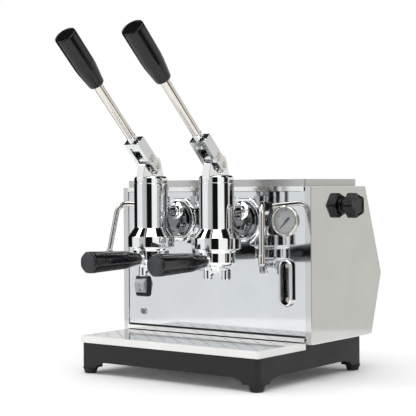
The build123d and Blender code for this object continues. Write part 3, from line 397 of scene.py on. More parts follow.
def soften(profile, radius=0.8, steps=4):
    """Rounds the corners of a profile with small arcs."""
    points = [Vector(p) for p in profile]
    made = [tuple(points[0])]
    for before, corner, after in zip(points, points[1:], points[2:]):
        a, b = before - corner, after - corner
        if a.length < 1e-6 or b.length < 1e-6:
            made.append(tuple(corner))
            continue
        reach = min(radius, a.length * 0.45, b.length * 0.45)
        start, end = corner + a.normalized() * reach, corner + b.normalized() * reach
        for k in range(steps + 1):
            t = k / steps
            made.append(tuple((1 - t) ** 2 * start + 2 * t * (1 - t) * corner + t * t * end))
    made.append(tuple(points[-1]))
    return made


def prism(outline, z0, z1):
    """Points and faces of a closed outline [(x, y)] between two heights."""
    n = len(outline)
    verts = [(x, y, z0) for x, y in outline] + [(x, y, z1) for x, y in outline]
    faces = [tuple(range(n - 1, -1, -1)), tuple(range(n, 2 * n))]
    faces += [(i, (i + 1) % n, n + (i + 1) % n, n + i) for i in range(n)]
    return verts, faces


def block(x0, x1, y0, y1, z0, z1):
    return prism([(x0, y0), (x1, y0), (x1, y1), (x0, y1)], z0, z1)


def ngon(n, radius, turn=0.0):
    return [(radius * cos(turn + 2 * pi * i / n), radius * sin(turn + 2 * pi * i / n)) for i in range(n)]


def rounded_outline(outline, radius, steps=5):
    """A closed outline with its corners rounded."""
    made = []
    n = len(outline)
    for i in range(n):
        before, corner, after = Vector(outline[i - 1]), Vector(outline[i]), Vector(outline[(i + 1) % n])
        a, b = before - corner, after - corner
        reach = min(radius, a.length * 0.48, b.length * 0.48)
        start, end = corner + a.normalized() * reach, corner + b.normalized() * reach
        for k in range(steps + 1):
            t = k / steps
            made.append(tuple((1 - t) ** 2 * start + 2 * t * (1 - t) * corner + t * t * end))
    return made


def stadium(width, height, steps=16):
    """An upright slot outline, centred."""
    r, h = width / 2, height / 2 - width / 2
    made = [(r * cos(pi * i / steps), h + r * sin(pi * i / steps)) for i in range(steps + 1)]
    made += [(-r * cos(pi * i / steps), -h - r * sin(pi * i / steps)) for i in range(steps + 1)]
    return made


def rings_between(outlines):
    """Joins closed outlines [(points, height)] of equal length into one skin, without caps."""
    verts, faces = [], []
    n = len(outlines[0][0])
    for points, height in outlines:
        verts += [(x, y, height) for x, y in points]
    for k in range(len(outlines) - 1):
        for i in range(n):
            j = (i + 1) % n
            faces.append((k * n + i, k * n + j, (k + 1) * n + j, (k + 1) * n + i))
    return verts, faces


def joined(*parts):
    """Several (verts, faces), each with its own matrix in front: (matrix or None, (verts, faces))."""
    verts, faces = [], []
    for matrix, (v, f) in parts:
        base = len(verts)
        for p in v:
            q = Vector(p)
            verts.append(tuple((matrix @ (q * MM)) / MM if matrix is not None else q))
        faces += [tuple(i + base for i in face) for face in f]
    return verts, faces


def tube(points, radius, steps=24, caps=True, profile=None):
    """A round tube along points; profile(t) may scale the radius along it."""
    pts = [Vector(p) for p in points]
    verts, faces = [], []
    normal = None
    for k, p in enumerate(pts):
        ahead = (pts[min(k + 1, len(pts) - 1)] - pts[max(k - 1, 0)]).normalized()
        if normal is None:
            normal = ahead.orthogonal().normalized()
        normal = (normal - ahead * normal.dot(ahead)).normalized()
        other = ahead.cross(normal)
        r = radius * (profile(k / (len(pts) - 1)) if profile else 1.0)
        for i in range(steps):
            a = 2 * pi * i / steps
            verts.append(tuple(p + r * (normal * cos(a) + other * sin(a))))
    for k in range(len(pts) - 1):
        for i in range(steps):
            j = (i + 1) % steps
            faces.append((k * steps + i, k * steps + j, (k + 1) * steps + j, (k + 1) * steps + i))
    if caps:
        faces.append(tuple(range(steps - 1, -1, -1)))
        faces.append(tuple(range((len(pts) - 1) * steps, len(pts) * steps)))
    return verts, faces


def bent(points, radius, steps=14):
    """A route of straight runs with its inner corners turned into arcs."""
    pts = [Vector(p) for p in points]
    made = [pts[0]]
    for before, corner, after in zip(pts, pts[1:], pts[2:]):
        a, b = (before - corner).normalized(), (after - corner).normalized()
        half = a.angle(b) / 2
        reach = min(radius / math.tan(half), (before - corner).length * 0.9, (after - corner).length * 0.9)
        r = reach * math.tan(half)
        centre = corner + (a + b).normalized() * (r / sin(half))
        start, end = corner + a * reach, corner + b * reach
        u, v = start - centre, end - centre
        sweep = u.angle(v)
        for k in range(steps + 1):
            t = k / steps
            made.append(centre + (u * sin((1 - t) * sweep) + v * sin(t * sweep)) / sin(sweep))
    made.append(pts[-1])
    return made


# ------------------------------------------------------------------ CAD nodes that stay
KEPT = {
    "cast": ["base_frame"],
    "rubber": ["group_gaskets"],
    "side": ["side_panel_left", "side_panel_right"],
    "panel": ["front_panel"],
    "trim": ["chassis", "rear_cover", "drip_pan", "case_screws"],
    "tray": ["tray_cover"],
    "lid": ["cup_tray"],
    "copper": ["boiler_shell", "pipework"],
    "brass": ["steam_valves", "safety_valve", "heating_element"],
    "black": ["pressurestat", "terminal_box", "cable_gland", "wand_bushes"],
    "fork": ["lever_fork_left", "lever_fork_right", "lever_roller_left", "lever_roller_right"],
    "steel": ["group_spring_left", "group_spring_right", "shower_screens", "portafilter_basket_left",
              "portafilter_basket_right"],
    "wand": ["piston_left", "piston_right"],
    "glass": ["sight_glass_tube"],
}
EDGE_WIDTHS = {"base_frame": 1.6, "lever_fork_left": 0.8, "lever_fork_right": 0.8, "cable_gland": 0.6,
               "terminal_box": 1.2}
for mat, names in KEPT.items():
    for name in names:
        NODES[name].data.materials.clear()
        NODES[name].data.materials.append(M[mat])
for name, width in EDGE_WIDTHS.items():
    rounded(NODES[name], width, 40.0)

# painted shade: black strips fill the gaps above and below the folded sill, standing for the shadow in those
# gaps
GAP_SHADE_HALF = 174.0
UPPER_GAP_SHADE = block(-GAP_SHADE_HALF, GAP_SHADE_HALF, PANEL - 2.2, PANEL + 0.4, 66.5, 68.9)
LOWER_GAP_SHADE = block(-GAP_SHADE_HALF, GAP_SHADE_HALF, PANEL - 2.0, PANEL + 3.5, 59.75, 60.35)
verts, faces = joined((None, UPPER_GAP_SHADE), (None, LOWER_GAP_SHADE))
piece("sill_gap_shade", verts, faces, "rubber", smooth=False)

# ------------------------------------------------------------------ the two groups
CYLINDER_R = 26.4
BELL_R = 36.5
FLANGE_HALF = 34.5       # half the octagon's width over its flats
FLANGE_EDGE = 33.6       # the same, inside its chamfer
FLANGE_ROUND = 6.0
PLUG_FRONT = 39.0        # axis of the hexagon plug, in front of the panel
HORN_HALF = 7.0          # half the thickness of the horned slab
HORN_SADDLE_R = 10.0     # round saddle between the two horns
HORN_SADDLE_Z = 322.5


def octagon(half):
    """Eight flats with rounded corners, from half the width over the flats."""
    return rounded_outline(ngon(8, half / cos(pi / 8), pi / 8), FLANGE_ROUND)


def hexagon(radius, rounding=0.8):
    return rounded_outline(ngon(6, radius), rounding)


def hexagon_plug():
    """The plug on the neck: its block, a short stem and a small nut with a socket."""
    stem = lathe([(4.6, -1), (4.6, 1.2), (3.8, 2.0), (3.8, 9.5)], 32)
    nut = rings_between([(hexagon(5.6), 0.0), (hexagon(7.2), 0.7), (hexagon(7.2), 5.4), (hexagon(5.9), 6.2),
                         (hexagon(2.4, 0.3), 6.2), (hexagon(2.3, 0.3), 3.0)])
    return joined((upright(0, 0, NECK_Z - 2), prism(hexagon(9.6, 1.0), 0, 25)),
                  (upright(0, 0, NECK_Z + 23), stem),
                  (upright(0, 0, NECK_Z + 32), nut))


def group_shell(gx):
    """Bell and cylinder, wall flange with its lip, neck and plug."""
    shell = soften([(30.6, 206), (30.6, 199.5), (34.4, 199.5), (34.4, 200.6), (BELL_R, 200.6), (BELL_R, 217),
                    (CYLINDER_R, 231), (CYLINDER_R, 299.6), (24.0, 299.6)], 0.9)
    outer, inner = octagon(FLANGE_HALF), octagon(FLANGE_EDGE)
    seat = [(x * 0.9, y * 0.9) for x, y in inner]
    plate = rings_between([(outer, 0.0), (outer, 4.0), (inner, 5.0), (seat, 5.0)])
    lip = soften([(31.4, 4.9), (31.4, 7.6), (29.6, 7.6), (29.0, 6.0), (27.2, 5.9)], 0.7)
    neck = soften([(15.0, 12.6), (12.0, 16.0), (9.5, 22.0), (9.5, 42.0), (11.5, 50.0)], 2.5)
    flange = facing(gx, PANEL, FLANGE_Z)
    return joined((upright(gx, GROUP_Y), lathe(shell, 128)),
                  (flange, plate),
                  (flange, lathe(lip, 96)),
                  (facing(gx, PANEL, NECK_Z), lathe(neck, 64)),
                  (upright(gx, PANEL - PLUG_FRONT), hexagon_plug()))


def cap_with_horns(gx):
    """The screwed cap and the slab whose two horns carry the lever's roller."""
    cap = soften([(24.0, 299.4), (26.1, 299.4), (26.1, 307.6), (24.4, 310.2), (21.5, 311.0), (5.2, 311.0),
                  (5.2, 309.0)], 1.0, 5)
    r, z = HORN_SADDLE_R, HORN_SADDLE_Z
    slab = [(-r, z), (-r, 330), (-11, 331), (-19.5, 331), (-21.5, 329), (-24.2, 320), (-25.8, 309),
            (-25.8, 304), (23.5, 304), (23.3, 312), (15.6, 337.6), (13.8, 339.5), (11.2, 339.5), (r, 338.2),
            (r, z)]
    slab += [(r * cos(-pi * k / 16), z + r * sin(-pi * k / 16)) for k in range(1, 16)]
    here = upright(gx, GROUP_Y)
    return joined((here, lathe(cap, 128)), (here @ SIDEWAYS, prism(slab, -HORN_HALF, HORN_HALF)))


DOME = soften([(27.4, 5.8), (26.8, 9.4), (22.5, 12.6), (20.5, 12.6), (20.0, 10.6), (15.0, 13.0), (8.0, 14.0),
               (0, 14.2)], 0.7)
for side, sx in SIDES:
    gx = sx * GROUP_X
    verts, faces = group_shell(gx)
    piece(f"group_shell_{side}", verts, faces, "chrome", replaces=[f"group_body_{side}"])
    verts, faces = lathe(DOME, 96)
    piece(f"flange_dome_{side}", verts, faces, "dome",
          matrix=facing(gx, PANEL, FLANGE_Z))
    verts, faces = cap_with_horns(gx)
    piece(f"group_cap_round_{side}", verts, faces, "chrome",
          replaces=[f"group_cap_{side}"], bevel=0.7, angle=28.0)

# ------------------------------------------------------------------ portafilters
SPOUT_X = 16.8           # each outlet, from the group's axis
WEB_HALF = 4.6           # half the thickness of the web between the outlets
HANDLE_FLATS = 8
FLATS_START = 44.0       # where the round throat begins to turn into flats
FLATS_RUN = 14.0
BOWL = soften([(0, 175.4), (21.0, 175.0), (25.8, 176.0), (27.5, 178.6), (28.0, 182.0), (28.0, 195.6),
               (29.4, 198.0), (29.8, 200.0), (29.8, 207.0)], 1.6)
ARM = soften([(9.5, 20.0), (8.6, 23.0), (8.6, 24.0), (9.8, 24.4), (9.8, 27.0), (8.8, 27.6), (8.8, 30.6),
              (9.6, 31.0), (9.6, 33.4), (5.0, 33.4)], 0.4)
LUG = block(-3.0, 3.0, 8.2, 12.2, 25.0, 31.5)
WEB = rounded_outline([(-23.6, 154.6), (-23.6, 168.0), (-21.0, 172.0), (-12.0, 174.4), (12.0, 174.4),
                       (21.0, 172.0), (23.6, 168.0), (23.6, 154.6), (10.6, 154.6), (10.2, 160.0),
                       (7.2, 163.6), (-7.2, 163.6), (-10.2, 160.0), (-10.6, 154.6)], 2.4, 4)
OUTLET = soften([(4.6, 160.0), (4.6, 154.4), (6.4, 154.4), (6.7, 160.0), (6.6, 168.0), (5.0, 171.5),
                 (0, 172.5)], 0.8)
SPOUT_COLLAR = soften([(8.2, 176.0), (11.5, 176.0), (11.0, 172.0), (9.0, 168.0)], 1.0)
HANDLE = soften([(5.0, 33.8), (9.0, 33.8), (9.6, 35.0), (10.4, 42.0), (11.6, 50.0), (13.2, 58.0),
                 (14.3, 66.0), (16.9, 139.5), (16.6, 142.2), (15.6, 143.8), (14.4, 144.3)], 1.2, 3)
HANDLE_END = [(14.6, 144.1), (14.0, 144.3), (13.4, 143.9), (0, 143.9)]


def flats(angle, radius, height):
    """Turns the handle's round throat into eight broad flats with soft ridges."""
    grown = min(1.0, max(0.0, (height - FLATS_START) / FLATS_RUN))
    sector = 2 * pi / HANDLE_FLATS
    local = (angle + sector / 2) % sector - sector / 2
    flat = cos(sector / 2) / cos(local)
    blend = flat * 0.55 + 0.45
    return radius * (1 + grown * (blend - 1) * 0.9)


def bowl_with_arm(gx):
    stem = facing(gx, GROUP_Y, HANDLE_Z)
    return joined((upright(gx, GROUP_Y), lathe(BOWL, 128)), (stem, lathe(ARM, 64)), (stem, LUG))


def twin_spout(gx):
    """A collar under the bowl and two outlets joined by an arched web."""
    here = upright(gx, GROUP_Y)
    return joined((here @ UPENDED, prism(WEB, -WEB_HALF, WEB_HALF)),
                  (upright(gx - SPOUT_X, GROUP_Y), lathe(OUTLET, 48)),
                  (upright(gx + SPOUT_X, GROUP_Y), lathe(OUTLET, 48)),
                  (here, lathe(SPOUT_COLLAR, 64)))


for side, sx in SIDES:
    gx = sx * GROUP_X
    body = f"portafilter_{side}"
    verts, faces = bowl_with_arm(gx)
    piece(f"portafilter_bowl_{side}", verts, faces, "chrome", body,
          [f"portafilter_body_{side}"], bevel=0.3, angle=50.0)
    verts, faces = twin_spout(gx)
    piece(f"spout_{side}", verts, faces, "chrome", body, [f"portafilter_spout_{side}"],
          bevel=1.6, angle=40.0, segments=4)
    verts, faces = lathe(HANDLE, 96, flats)
    piece(f"handle_{side}", verts, faces, "handle", body, [f"portafilter_handle_{side}"],
          matrix=facing(gx, GROUP_Y, HANDLE_Z), angle=60.0)
    verts, faces = lathe(HANDLE_END, 96, flats)
    piece(f"handle_end_{side}", verts, faces, "cap_end", body,
          matrix=facing(gx, GROUP_Y, HANDLE_Z), angle=60.0)

# ------------------------------------------------------------------ levers
TILT = radians(45.0)
ROD_SHIFT = 0.7          # the rod's axis, in front of the fork pin's
ROLLER_Y = -1.2
ROLLER_UP = 18.2
FORK_HALF = 14.0         # half the fork's width
ROD = soften([(0, 41.0), (6.9, 41.0), (6.9, 65.6), (6.9, 67.0), (7.05, 67.4), (7.05, 173.0)], 0.5)
SLEEVE = soften([(6.2, 40.0), (7.0, 40.0), (7.5, 40.6), (7.5, 66.2), (7.0, 67.0), (6.8, 67.0)], 0.4)
GRIP = soften([(7.0, 172.6), (10.6, 172.0), (11.8, 172.6), (12.3, 174.6), (13.4, 183.0), (14.9, 194.0),
               (16.0, 203.0), (16.45, 212.0), (16.9, 262.5), (16.8, 266.2), (16.1, 267.4), (15.0, 267.5),
               (14.4, 266.7), (0, 266.5)], 1.0, 5)
PINS = ((0.0, 0.0, 4.35), (ROLLER_Y, ROLLER_UP, 5.75))  # across and up the lever, head radius


def lever_frame(gx):
    """Local z runs up the lever, local y across it towards the back."""
    pin = Vector((gx, GROUP_Y, PIN_Z)) * MM
    along = Vector((0, -sin(TILT), cos(TILT)))
    across = Vector((0, cos(TILT), sin(TILT)))
    return Matrix((
        (1, across.x, along.x, pin.x),
        (0, across.y, along.y, pin.y),
        (0, across.z, along.z, pin.z),
        (0, 0, 0, 1),
    ))


def pins_with_heads(lever):
    """The two pins through the fork, each with a turned head at both ends."""
    parts = []
    for y, z, r in PINS:
        head = soften([(r, -3.2), (r, 0.5), (r - 0.7, 1.1), (r * 0.5, 1.25), (0, 1.3)], 0.25, 3)
        for way in (-1, 1):
            end = Matrix(((0, 0, way, way * FORK_HALF * MM), (1, 0, 0, y * MM), (0, way, 0, z * MM),
                          (0, 0, 0, 1)))
            parts.append((lever @ end, lathe(head, 48)))
        core = Matrix(((0, 0, 1, 0), (1, 0, 0, y * MM), (0, 1, 0, z * MM), (0, 0, 0, 1)))
        parts.append((lever @ core, lathe([(0, -12), (r - 1.4, -12), (r - 1.4, 12), (0, 12)], 32)))
    return joined(*parts)


for side, sx in SIDES:
    body = f"lever_{side}"
    lever = lever_frame(sx * GROUP_X)
    rod_line = lever @ Matrix.Translation((0, -ROD_SHIFT * MM, 0))
    verts, faces = lathe(ROD, 64)
    piece(f"lever_bar_{side}", verts, faces, "rod", body, [f"lever_rod_{side}"],
          matrix=rod_line)
    verts, faces = lathe(SLEEVE, 64)
    piece(f"lever_sleeve_{side}", verts, faces, "chrome", body, matrix=rod_line)
    verts, faces = lathe(GRIP, 96)
    piece(f"grip_{side}", verts, faces, "grip", body, [f"lever_grip_{side}"], matrix=rod_line,
          angle=50.0)
    verts, faces = pins_with_heads(lever)
    piece(f"pins_{side}", verts, faces, "nickel", body, [f"lever_pins_{side}"])

# ------------------------------------------------------------------ steam wands
WAND_X = 104.0
BALL_Y = PANEL - 7.5
BALL_R = 6.0
WAND_Z = 263.0
WAND_REACH = 65.0        # out to the bend
WAND_RISE = 6.0
WAND_FOOT = 177.5        # height of the nozzle's end
WAND_LEAN = radians(11.0)
WAND_BEND = 19.0
WAND_R = 4.0
SWINGS = (("left", -1.0, 52.0), ("right", 1.0, 33.0))   # side, sign, degrees out from straight ahead
NOZZLE = soften([(4.0, -16.0), (4.9, -15.4), (4.9, -2.0), (3.6, 0.0), (1.3, 0.0), (1.2, -3.0)], 0.4)
BALL = [(BALL_R * cos(a), BALL_R * sin(a)) for a in [pi * (k / 24 - 0.5) for k in range(25)]]
for side, sx, swing in SWINGS:
    ball = Vector((sx * WAND_X, BALL_Y, WAND_Z))
    out = Vector((sx * sin(radians(swing)), -cos(radians(swing)), 0))
    fall = WAND_Z + WAND_RISE - WAND_FOOT
    corner = ball + out * WAND_REACH + Vector((0, 0, WAND_RISE))
    tip = ball + out * (WAND_REACH + math.tan(WAND_LEAN) * fall) + Vector((0, 0, WAND_FOOT - WAND_Z))
    route = bent([ball, corner, tip], WAND_BEND, 24)
    down = (tip - corner).normalized()
    spin = Vector((0, 0, 1)).rotation_difference(down).to_matrix().to_4x4()
    verts, faces = joined((None, tube(route, WAND_R, 32)),
                          (Matrix.Translation(tip * MM) @ spin, lathe(NOZZLE, 32)))
    piece(f"wand_tube_{side}", verts, faces, "wand", f"steam_wand_{side}",
          [f"steam_wand_{side}"], angle=45.0)
    verts, faces = lathe(BALL, 48)
    piece(f"wand_ball_{side}", verts, faces, "black", f"steam_wand_{side}",
          matrix=Matrix.Translation(ball * MM))

# ------------------------------------------------------------------ steam knobs
KNOB_Y = PANEL + 96.7
KNOB_Z = 263.5
KNOB_R = 21.2            # out to a corner
KNOB_TOP = 24.0
DISC_R = 14.6            # shallow disc in the knob's end
DISC_Z = 22.9
TIP_CUT = 1.045          # how much its corners are cut back


def pentagon(radius, hollow=0.0, steps=8):
    """Five corners, one to the front, with rounded tips and slightly hollow sides."""
    turns = [pi + 2 * pi * i / 5 for i in range(5)]
    corners = [Vector((radius * cos(a), radius * sin(a))) for a in turns]
    made = []
    for i in range(5):
        a, b = corners[i], corners[(i + 1) % 5]
        inward = -((a + b) / 2).normalized()
        for k in range(1, steps * 2):
            t = k / (steps * 2)
            p = a.lerp(b, t)
            near_tip = max(0.0, 1 - t / 0.13) ** 2 + max(0.0, 1 - (1 - t) / 0.13) ** 2
            cut = TIP_CUT * near_tip
            made.append(tuple(p + inward * (hollow * sin(pi * t)) - p.normalized() * cut))
    return made


def disc_edge(scale=1.0):
    """A circle with the same number of points as the pentagon."""
    turns = [math.atan2(y, x) for x, y in pentagon(KNOB_R)]
    return [(DISC_R * scale * cos(a), DISC_R * scale * sin(a)) for a in turns]


def knob_shape(base):
    r = KNOB_R
    top = pentagon(r * 0.80, 0.2)
    skin = rings_between([
        (pentagon(r * 0.62), 6.8), (pentagon(r * 0.94, 0.5), 6.9), (pentagon(r * 0.985, 0.7), 7.6),
        (pentagon(r, 0.8), 9.0), (pentagon(r, 0.8), 21.8), (pentagon(r * 0.985, 0.7), 23.2),
        (pentagon(r * 0.945, 0.5), KNOB_TOP), (top, KNOB_TOP)])
    disc = rings_between([
        (top, KNOB_TOP), (disc_edge(1.03), KNOB_TOP), (disc_edge(), 23.7), (disc_edge(0.985), DISC_Z),
        (disc_edge(0.5), DISC_Z), (disc_edge(0.01), DISC_Z)])
    collar = soften([(4.2, 0.8), (13.2, 0.8), (13.5, 1.2), (13.5, 7.2)], 0.4)
    return joined((base, skin), (base, disc), (base, lathe(collar, 64)))


for side, sx in SIDES:
    verts, faces = knob_shape(outward(sx * high("side_panel_right").x, KNOB_Y, KNOB_Z, sx))
    piece(f"knob_{side}", verts, faces, "knob", f"steam_knob_{side}", [f"steam_knob_{side}"],
          angle=32.0)

# ------------------------------------------------------------------ gauge
gauge = middle("gauge_dial")
ON_GAUGE = facing(gauge.x, PANEL, gauge.z)
DIAL = -3.0              # the dial's face, measured from the panel
GLASS_R = 19.9
GLASS_Z = (2.6, 3.3)
SWEEP_FROM = 225.0       # the scale runs clockwise from here, in degrees
SWEEP = 270.0
TICKS = 40
ARC_STEPS = 48
PRINT = 0.06             # thickness of the printed marks
MARK_END = 17.9
LONG_MARK = (14.0, 0.46)     # inner radius and half width
MIDDLE_MARK = (15.4, 0.3)
SHORT_MARK = (16.3, 0.2)
ARC_R = (18.0, 18.2)
DOT_X = 3.4
DOT_DROP = 10.0
RING = soften([(21.6, -1.0), (23.4, -0.4), (23.75, 0.6), (23.6, 2.4), (22.6, 4.4), (21.2, 5.3), (20.2, 4.8),
               (19.8, 3.4), (19.7, -3.2)], 0.8, 5)
CASE_BACK = [(21.4, -1.0), (21.4, -18.0), (0, -18.0)]
NEEDLE = [(-7.0, -1.3), (-6.2, -2.0), (0, -1.45), (16.0, -0.45), (16.6, 0), (16.0, 0.45), (0, 1.45),
          (-6.2, 2.0), (-7.0, 1.3)]
HUB = soften([(0.9, DIAL + 0.5), (2.5, DIAL + 0.6), (2.4, DIAL + 1.7), (0, DIAL + 2.0)], 0.4)


def scale_marks():
    """Ticks round the scale, long at each tenth one, and a thin arc outside them."""
    parts = []
    for k in range(TICKS + 1):
        turn = Matrix.Rotation(radians(SWEEP_FROM - SWEEP * k / TICKS), 4, "Z")
        start, half = SHORT_MARK
        if k % 5 == 0:
            start, half = MIDDLE_MARK
        if k % 10 == 0:
            start, half = LONG_MARK
        parts.append((ON_GAUGE @ turn, block(start, MARK_END, -half, half, DIAL, DIAL + PRINT)))
    arc = [radians(SWEEP_FROM - SWEEP * k / ARC_STEPS) for k in range(ARC_STEPS + 1)]
    r0, r1 = ARC_R
    for a, b in zip(arc, arc[1:]):
        quad = [(r0 * cos(a), r0 * sin(a)), (r1 * cos(a), r1 * sin(a)), (r1 * cos(b), r1 * sin(b)),
                (r0 * cos(b), r0 * sin(b))]
        parts.append((ON_GAUGE, prism(quad, DIAL, DIAL + PRINT)))
    return joined(*parts)


verts, faces = joined((ON_GAUGE, lathe(RING, 128)), (ON_GAUGE, lathe(CASE_BACK, 64)))
piece("gauge_ring", verts, faces, "wand", replaces=["gauge_case"])
verts, faces = lathe([(19.7, DIAL - 0.5), (19.7, DIAL), (0, DIAL)], 96)
piece("gauge_face", verts, faces, "dial", replaces=["gauge_dial"], matrix=ON_GAUGE)
verts, faces = scale_marks()
piece("gauge_marks", verts, faces, "ink", smooth=False)
dot = lathe([(0, DIAL + 0.08), (1.5, DIAL + 0.08), (1.5, DIAL)], 24)
verts, faces = joined(*[(facing(gauge.x + x, PANEL, gauge.z - DOT_DROP), dot) for x in (-DOT_X, DOT_X)])
piece("gauge_dots", verts, faces, "tan")
at_zero = ON_GAUGE @ Matrix.Rotation(radians(SWEEP_FROM), 4, "Z")
verts, faces = joined((at_zero, prism(NEEDLE, DIAL + 0.7, DIAL + 1.2)), (ON_GAUGE, lathe(HUB, 32)))
piece("gauge_pointer", verts, faces, "ink", "gauge_needle", ["gauge_needle"])
low_z, high_z = GLASS_Z
verts, faces = joined((None, lathe([(GLASS_R, low_z), (GLASS_R, high_z), (0, high_z)], 64)),
                      (None, lathe([(0, low_z), (GLASS_R, low_z)], 64)))
piece("gauge_glass", verts, faces, "glass", matrix=ON_GAUGE)

# ------------------------------------------------------------------ sight glass
sight = middle("sight_glass_frame")
ON_SIGHT = facing(sight.x, PANEL, sight.z)
SIGHT_W = 22.6
SIGHT_H = 72.9
SIGHT_LIP = [(0, -0.1), (0, 3.2), (0.8, 5.6), (2.2, 7.4), (4.0, 8.3), (5.2, 8.5), (6.6, 8.1), (7.4, 7.0),
             (7.8, 5.0), (8.0, -6.0)]    # how much narrower it is, at each height
SIGHT_BACK = -12.0
NUT_Z = 26.0             # the tube's nuts, above and below the middle
NUT_Y = PANEL + 4.0
verts, faces = rings_between([(stadium(SIGHT_W - less, SIGHT_H - less), z) for less, z in SIGHT_LIP])
piece("sight_surround", verts, faces, "chrome", replaces=["sight_glass_frame"],
      matrix=ON_SIGHT, angle=50.0)
# painted shade: a black liner and back behind the surround stand for the shadow inside the slot
outline = stadium(SIGHT_W - 7.8, SIGHT_H - 7.8)
liner = rings_between([(outline, -5.6), (outline, SIGHT_BACK)])
verts, faces = joined((None, prism(outline, SIGHT_BACK - 0.6, SIGHT_BACK)), (None, liner))
piece("sight_slot_shade", verts, faces, "dark", matrix=ON_SIGHT, smooth=False)
NUT = soften([(0, -2.6), (5.6, -2.6), (5.6, 2.6), (0, 2.6)], 0.6)
NUT_COLLAR = [(0, -4.2), (3.4, -4.2), (3.4, 4.2), (0, 4.2)]
nuts = []
for z in (-NUT_Z, NUT_Z):
    place = upright(sight.x, NUT_Y, sight.z + z)
    nuts += [(place, lathe(NUT, 6)), (place, lathe(NUT_COLLAR, 24))]
verts, faces = joined(*nuts)
piece("sight_nuts", verts, faces, "nickel", angle=40.0)

# ------------------------------------------------------------------ switch
SWITCH_Z = 131.0
ON_SWITCH = facing(middle("switch_rocker").x, PANEL, SWITCH_Z)
ROCKER_HALF = 10.7
ROCKER = rounded_outline([(10.6, -3.0), (11.9, 5.0), (11.8, 8.0), (5.6, 11.3), (1.0, 11.2), (-10.6, 8.2),
                          (-10.6, 5.0), (-10.2, -3.0)], 1.2, 4)
SLOPE_TOP = (1.0, 11.2)      # upper and lower ends of the slope that the marks are drawn on
SLOPE_FOOT = (-11.2, 8.2)
RING_MARK_Y = -6.4
RING_MARK_R = (1.35, 2.15)
RING_MARK_STEPS = 24
BEZEL_HALF = (14.25, 17.0)
BEZEL_HOLE = (11.2, 12.9)


def on_slope(y):
    """Height of the rocker's lower slope above the panel."""
    share = (SLOPE_TOP[0] - y) / (SLOPE_TOP[0] - SLOPE_FOOT[0])
    return SLOPE_TOP[1] + (SLOPE_FOOT[1] - SLOPE_TOP[1]) * share


def ring_mark():
    """The off mark, a ring of short pieces laid on the slope."""
    r0, r1 = RING_MARK_R
    lean = (SLOPE_TOP[1] - SLOPE_FOOT[1]) / (SLOPE_TOP[0] - SLOPE_FOOT[0])
    level = on_slope(RING_MARK_Y)
    parts = []
    for k in range(RING_MARK_STEPS):
        a, b = 2 * pi * k / RING_MARK_STEPS, 2 * pi * (k + 1) / RING_MARK_STEPS
        corners = ((a, r0), (a, r1), (b, r1), (b, r0))
        v, f = prism([(r * cos(t), RING_MARK_Y + r * sin(t)) for t, r in corners], level - 0.6, level + 0.15)
        parts.append((ON_SWITCH, ([(x, y, z + (y - RING_MARK_Y) * lean) for x, y, z in v], f)))
    return parts


def rectangle(half_w, half_h, rounding):
    corners = [(-half_w, -half_h), (half_w, -half_h), (half_w, half_h), (-half_w, half_h)]
    return rounded_outline(corners, rounding, 6)


verts, faces = prism(ROCKER, -ROCKER_HALF, ROCKER_HALF)
piece("rocker", verts, faces, "rocker", "switch_rocker", ["switch_rocker"],
      matrix=ON_SWITCH @ SIDEWAYS, bevel=1.3, angle=50.0)
bar_mark = (ON_SWITCH, block(-0.55, 0.55, 0.2, 3.6, 10.6, 11.35))
verts, faces = joined(bar_mark, *ring_mark())
piece("rocker_marks", verts, faces, "ink", "switch_rocker", smooth=False)

outer = rectangle(*BEZEL_HALF, 5.0)
inside = rectangle(*BEZEL_HOLE, 2.4)
shoulder = [(x * 0.95, y * 0.96) for x, y in outer]
crest = [(x * 1.06, y * 1.06) for x, y in inside]
verts, faces = rings_between([(outer, 0.05), (outer, 2.6), (shoulder, 4.1), (crest, 4.5), (inside, 4.3),
                              (inside, -8.0)])
piece("switch_frame", verts, faces, "black", replaces=["switch_bezel"], matrix=ON_SWITCH,
      angle=60.0)

# ------------------------------------------------------------------ lamp
lamp = middle("indicator_lamp")
ON_LAMP = facing(lamp.x, PANEL, lamp.z)
LAMP_RING = soften([(5.0, -6.0), (5.2, 0.0), (6.4, 0.1), (6.5, 1.4), (5.6, 2.2), (4.9, 2.0), (4.8, 0.8)], 0.4)
LAMP_LENS = [(4.9, 0.6), (4.7, 2.4), (3.9, 3.5), (2.4, 4.2), (1.0, 4.5), (0, 4.5)]
verts, faces = lathe(LAMP_RING, 64)
piece("lamp_ring", verts, faces, "chrome", replaces=["indicator_lamp"], matrix=ON_LAMP)
verts, faces = lathe(LAMP_LENS, 48)
piece("lamp_lens", verts, faces, "lens", matrix=ON_LAMP)

# ------------------------------------------------------------------ feet
FOOT_IN = 12.0           # a foot's axis, in from the corner of the box round all four
FOOT = soften([(0, 0.0), (8.6, 0.0), (9.4, 0.9), (10.4, 4.6), (11.2, 6.6), (11.9, 7.2), (11.9, 9.4),
               (0, 9.4)], 0.5)
spots = []
for x in (low("feet").x + FOOT_IN, high("feet").x - FOOT_IN):
    for y in (low("feet").y + FOOT_IN, high("feet").y - FOOT_IN):
        spots.append((upright(x, y), lathe(FOOT, 64)))
verts, faces = joined(*spots)
piece("rubber_feet", verts, faces, "rubber", replaces=["feet"], angle=50.0)

# ------------------------------------------------------------------ studio
AZIMUTH = radians(37.7)
FLOOR_R = 0.8


def floor():
    mesh = bpy.data.meshes.new("floor")
    work = bmesh.new()
    bmesh.ops.create_circle(work, cap_ends=True, segments=96, radius=FLOOR_R)
    work.to_mesh(mesh)
    work.free()
    obj = bpy.data.objects.new("floor", mesh)
    obj.location = (0, 0.03, -0.0003)
    bpy.context.scene.collection.objects.link(obj)
    s = Shade("pale_floor", (0.88, 0.88, 0.88), 0.6)
    s.rough(s.span(s.noise(2.0), 0.55, 0.7))
    mesh.materials.append(s.mat)


floor()

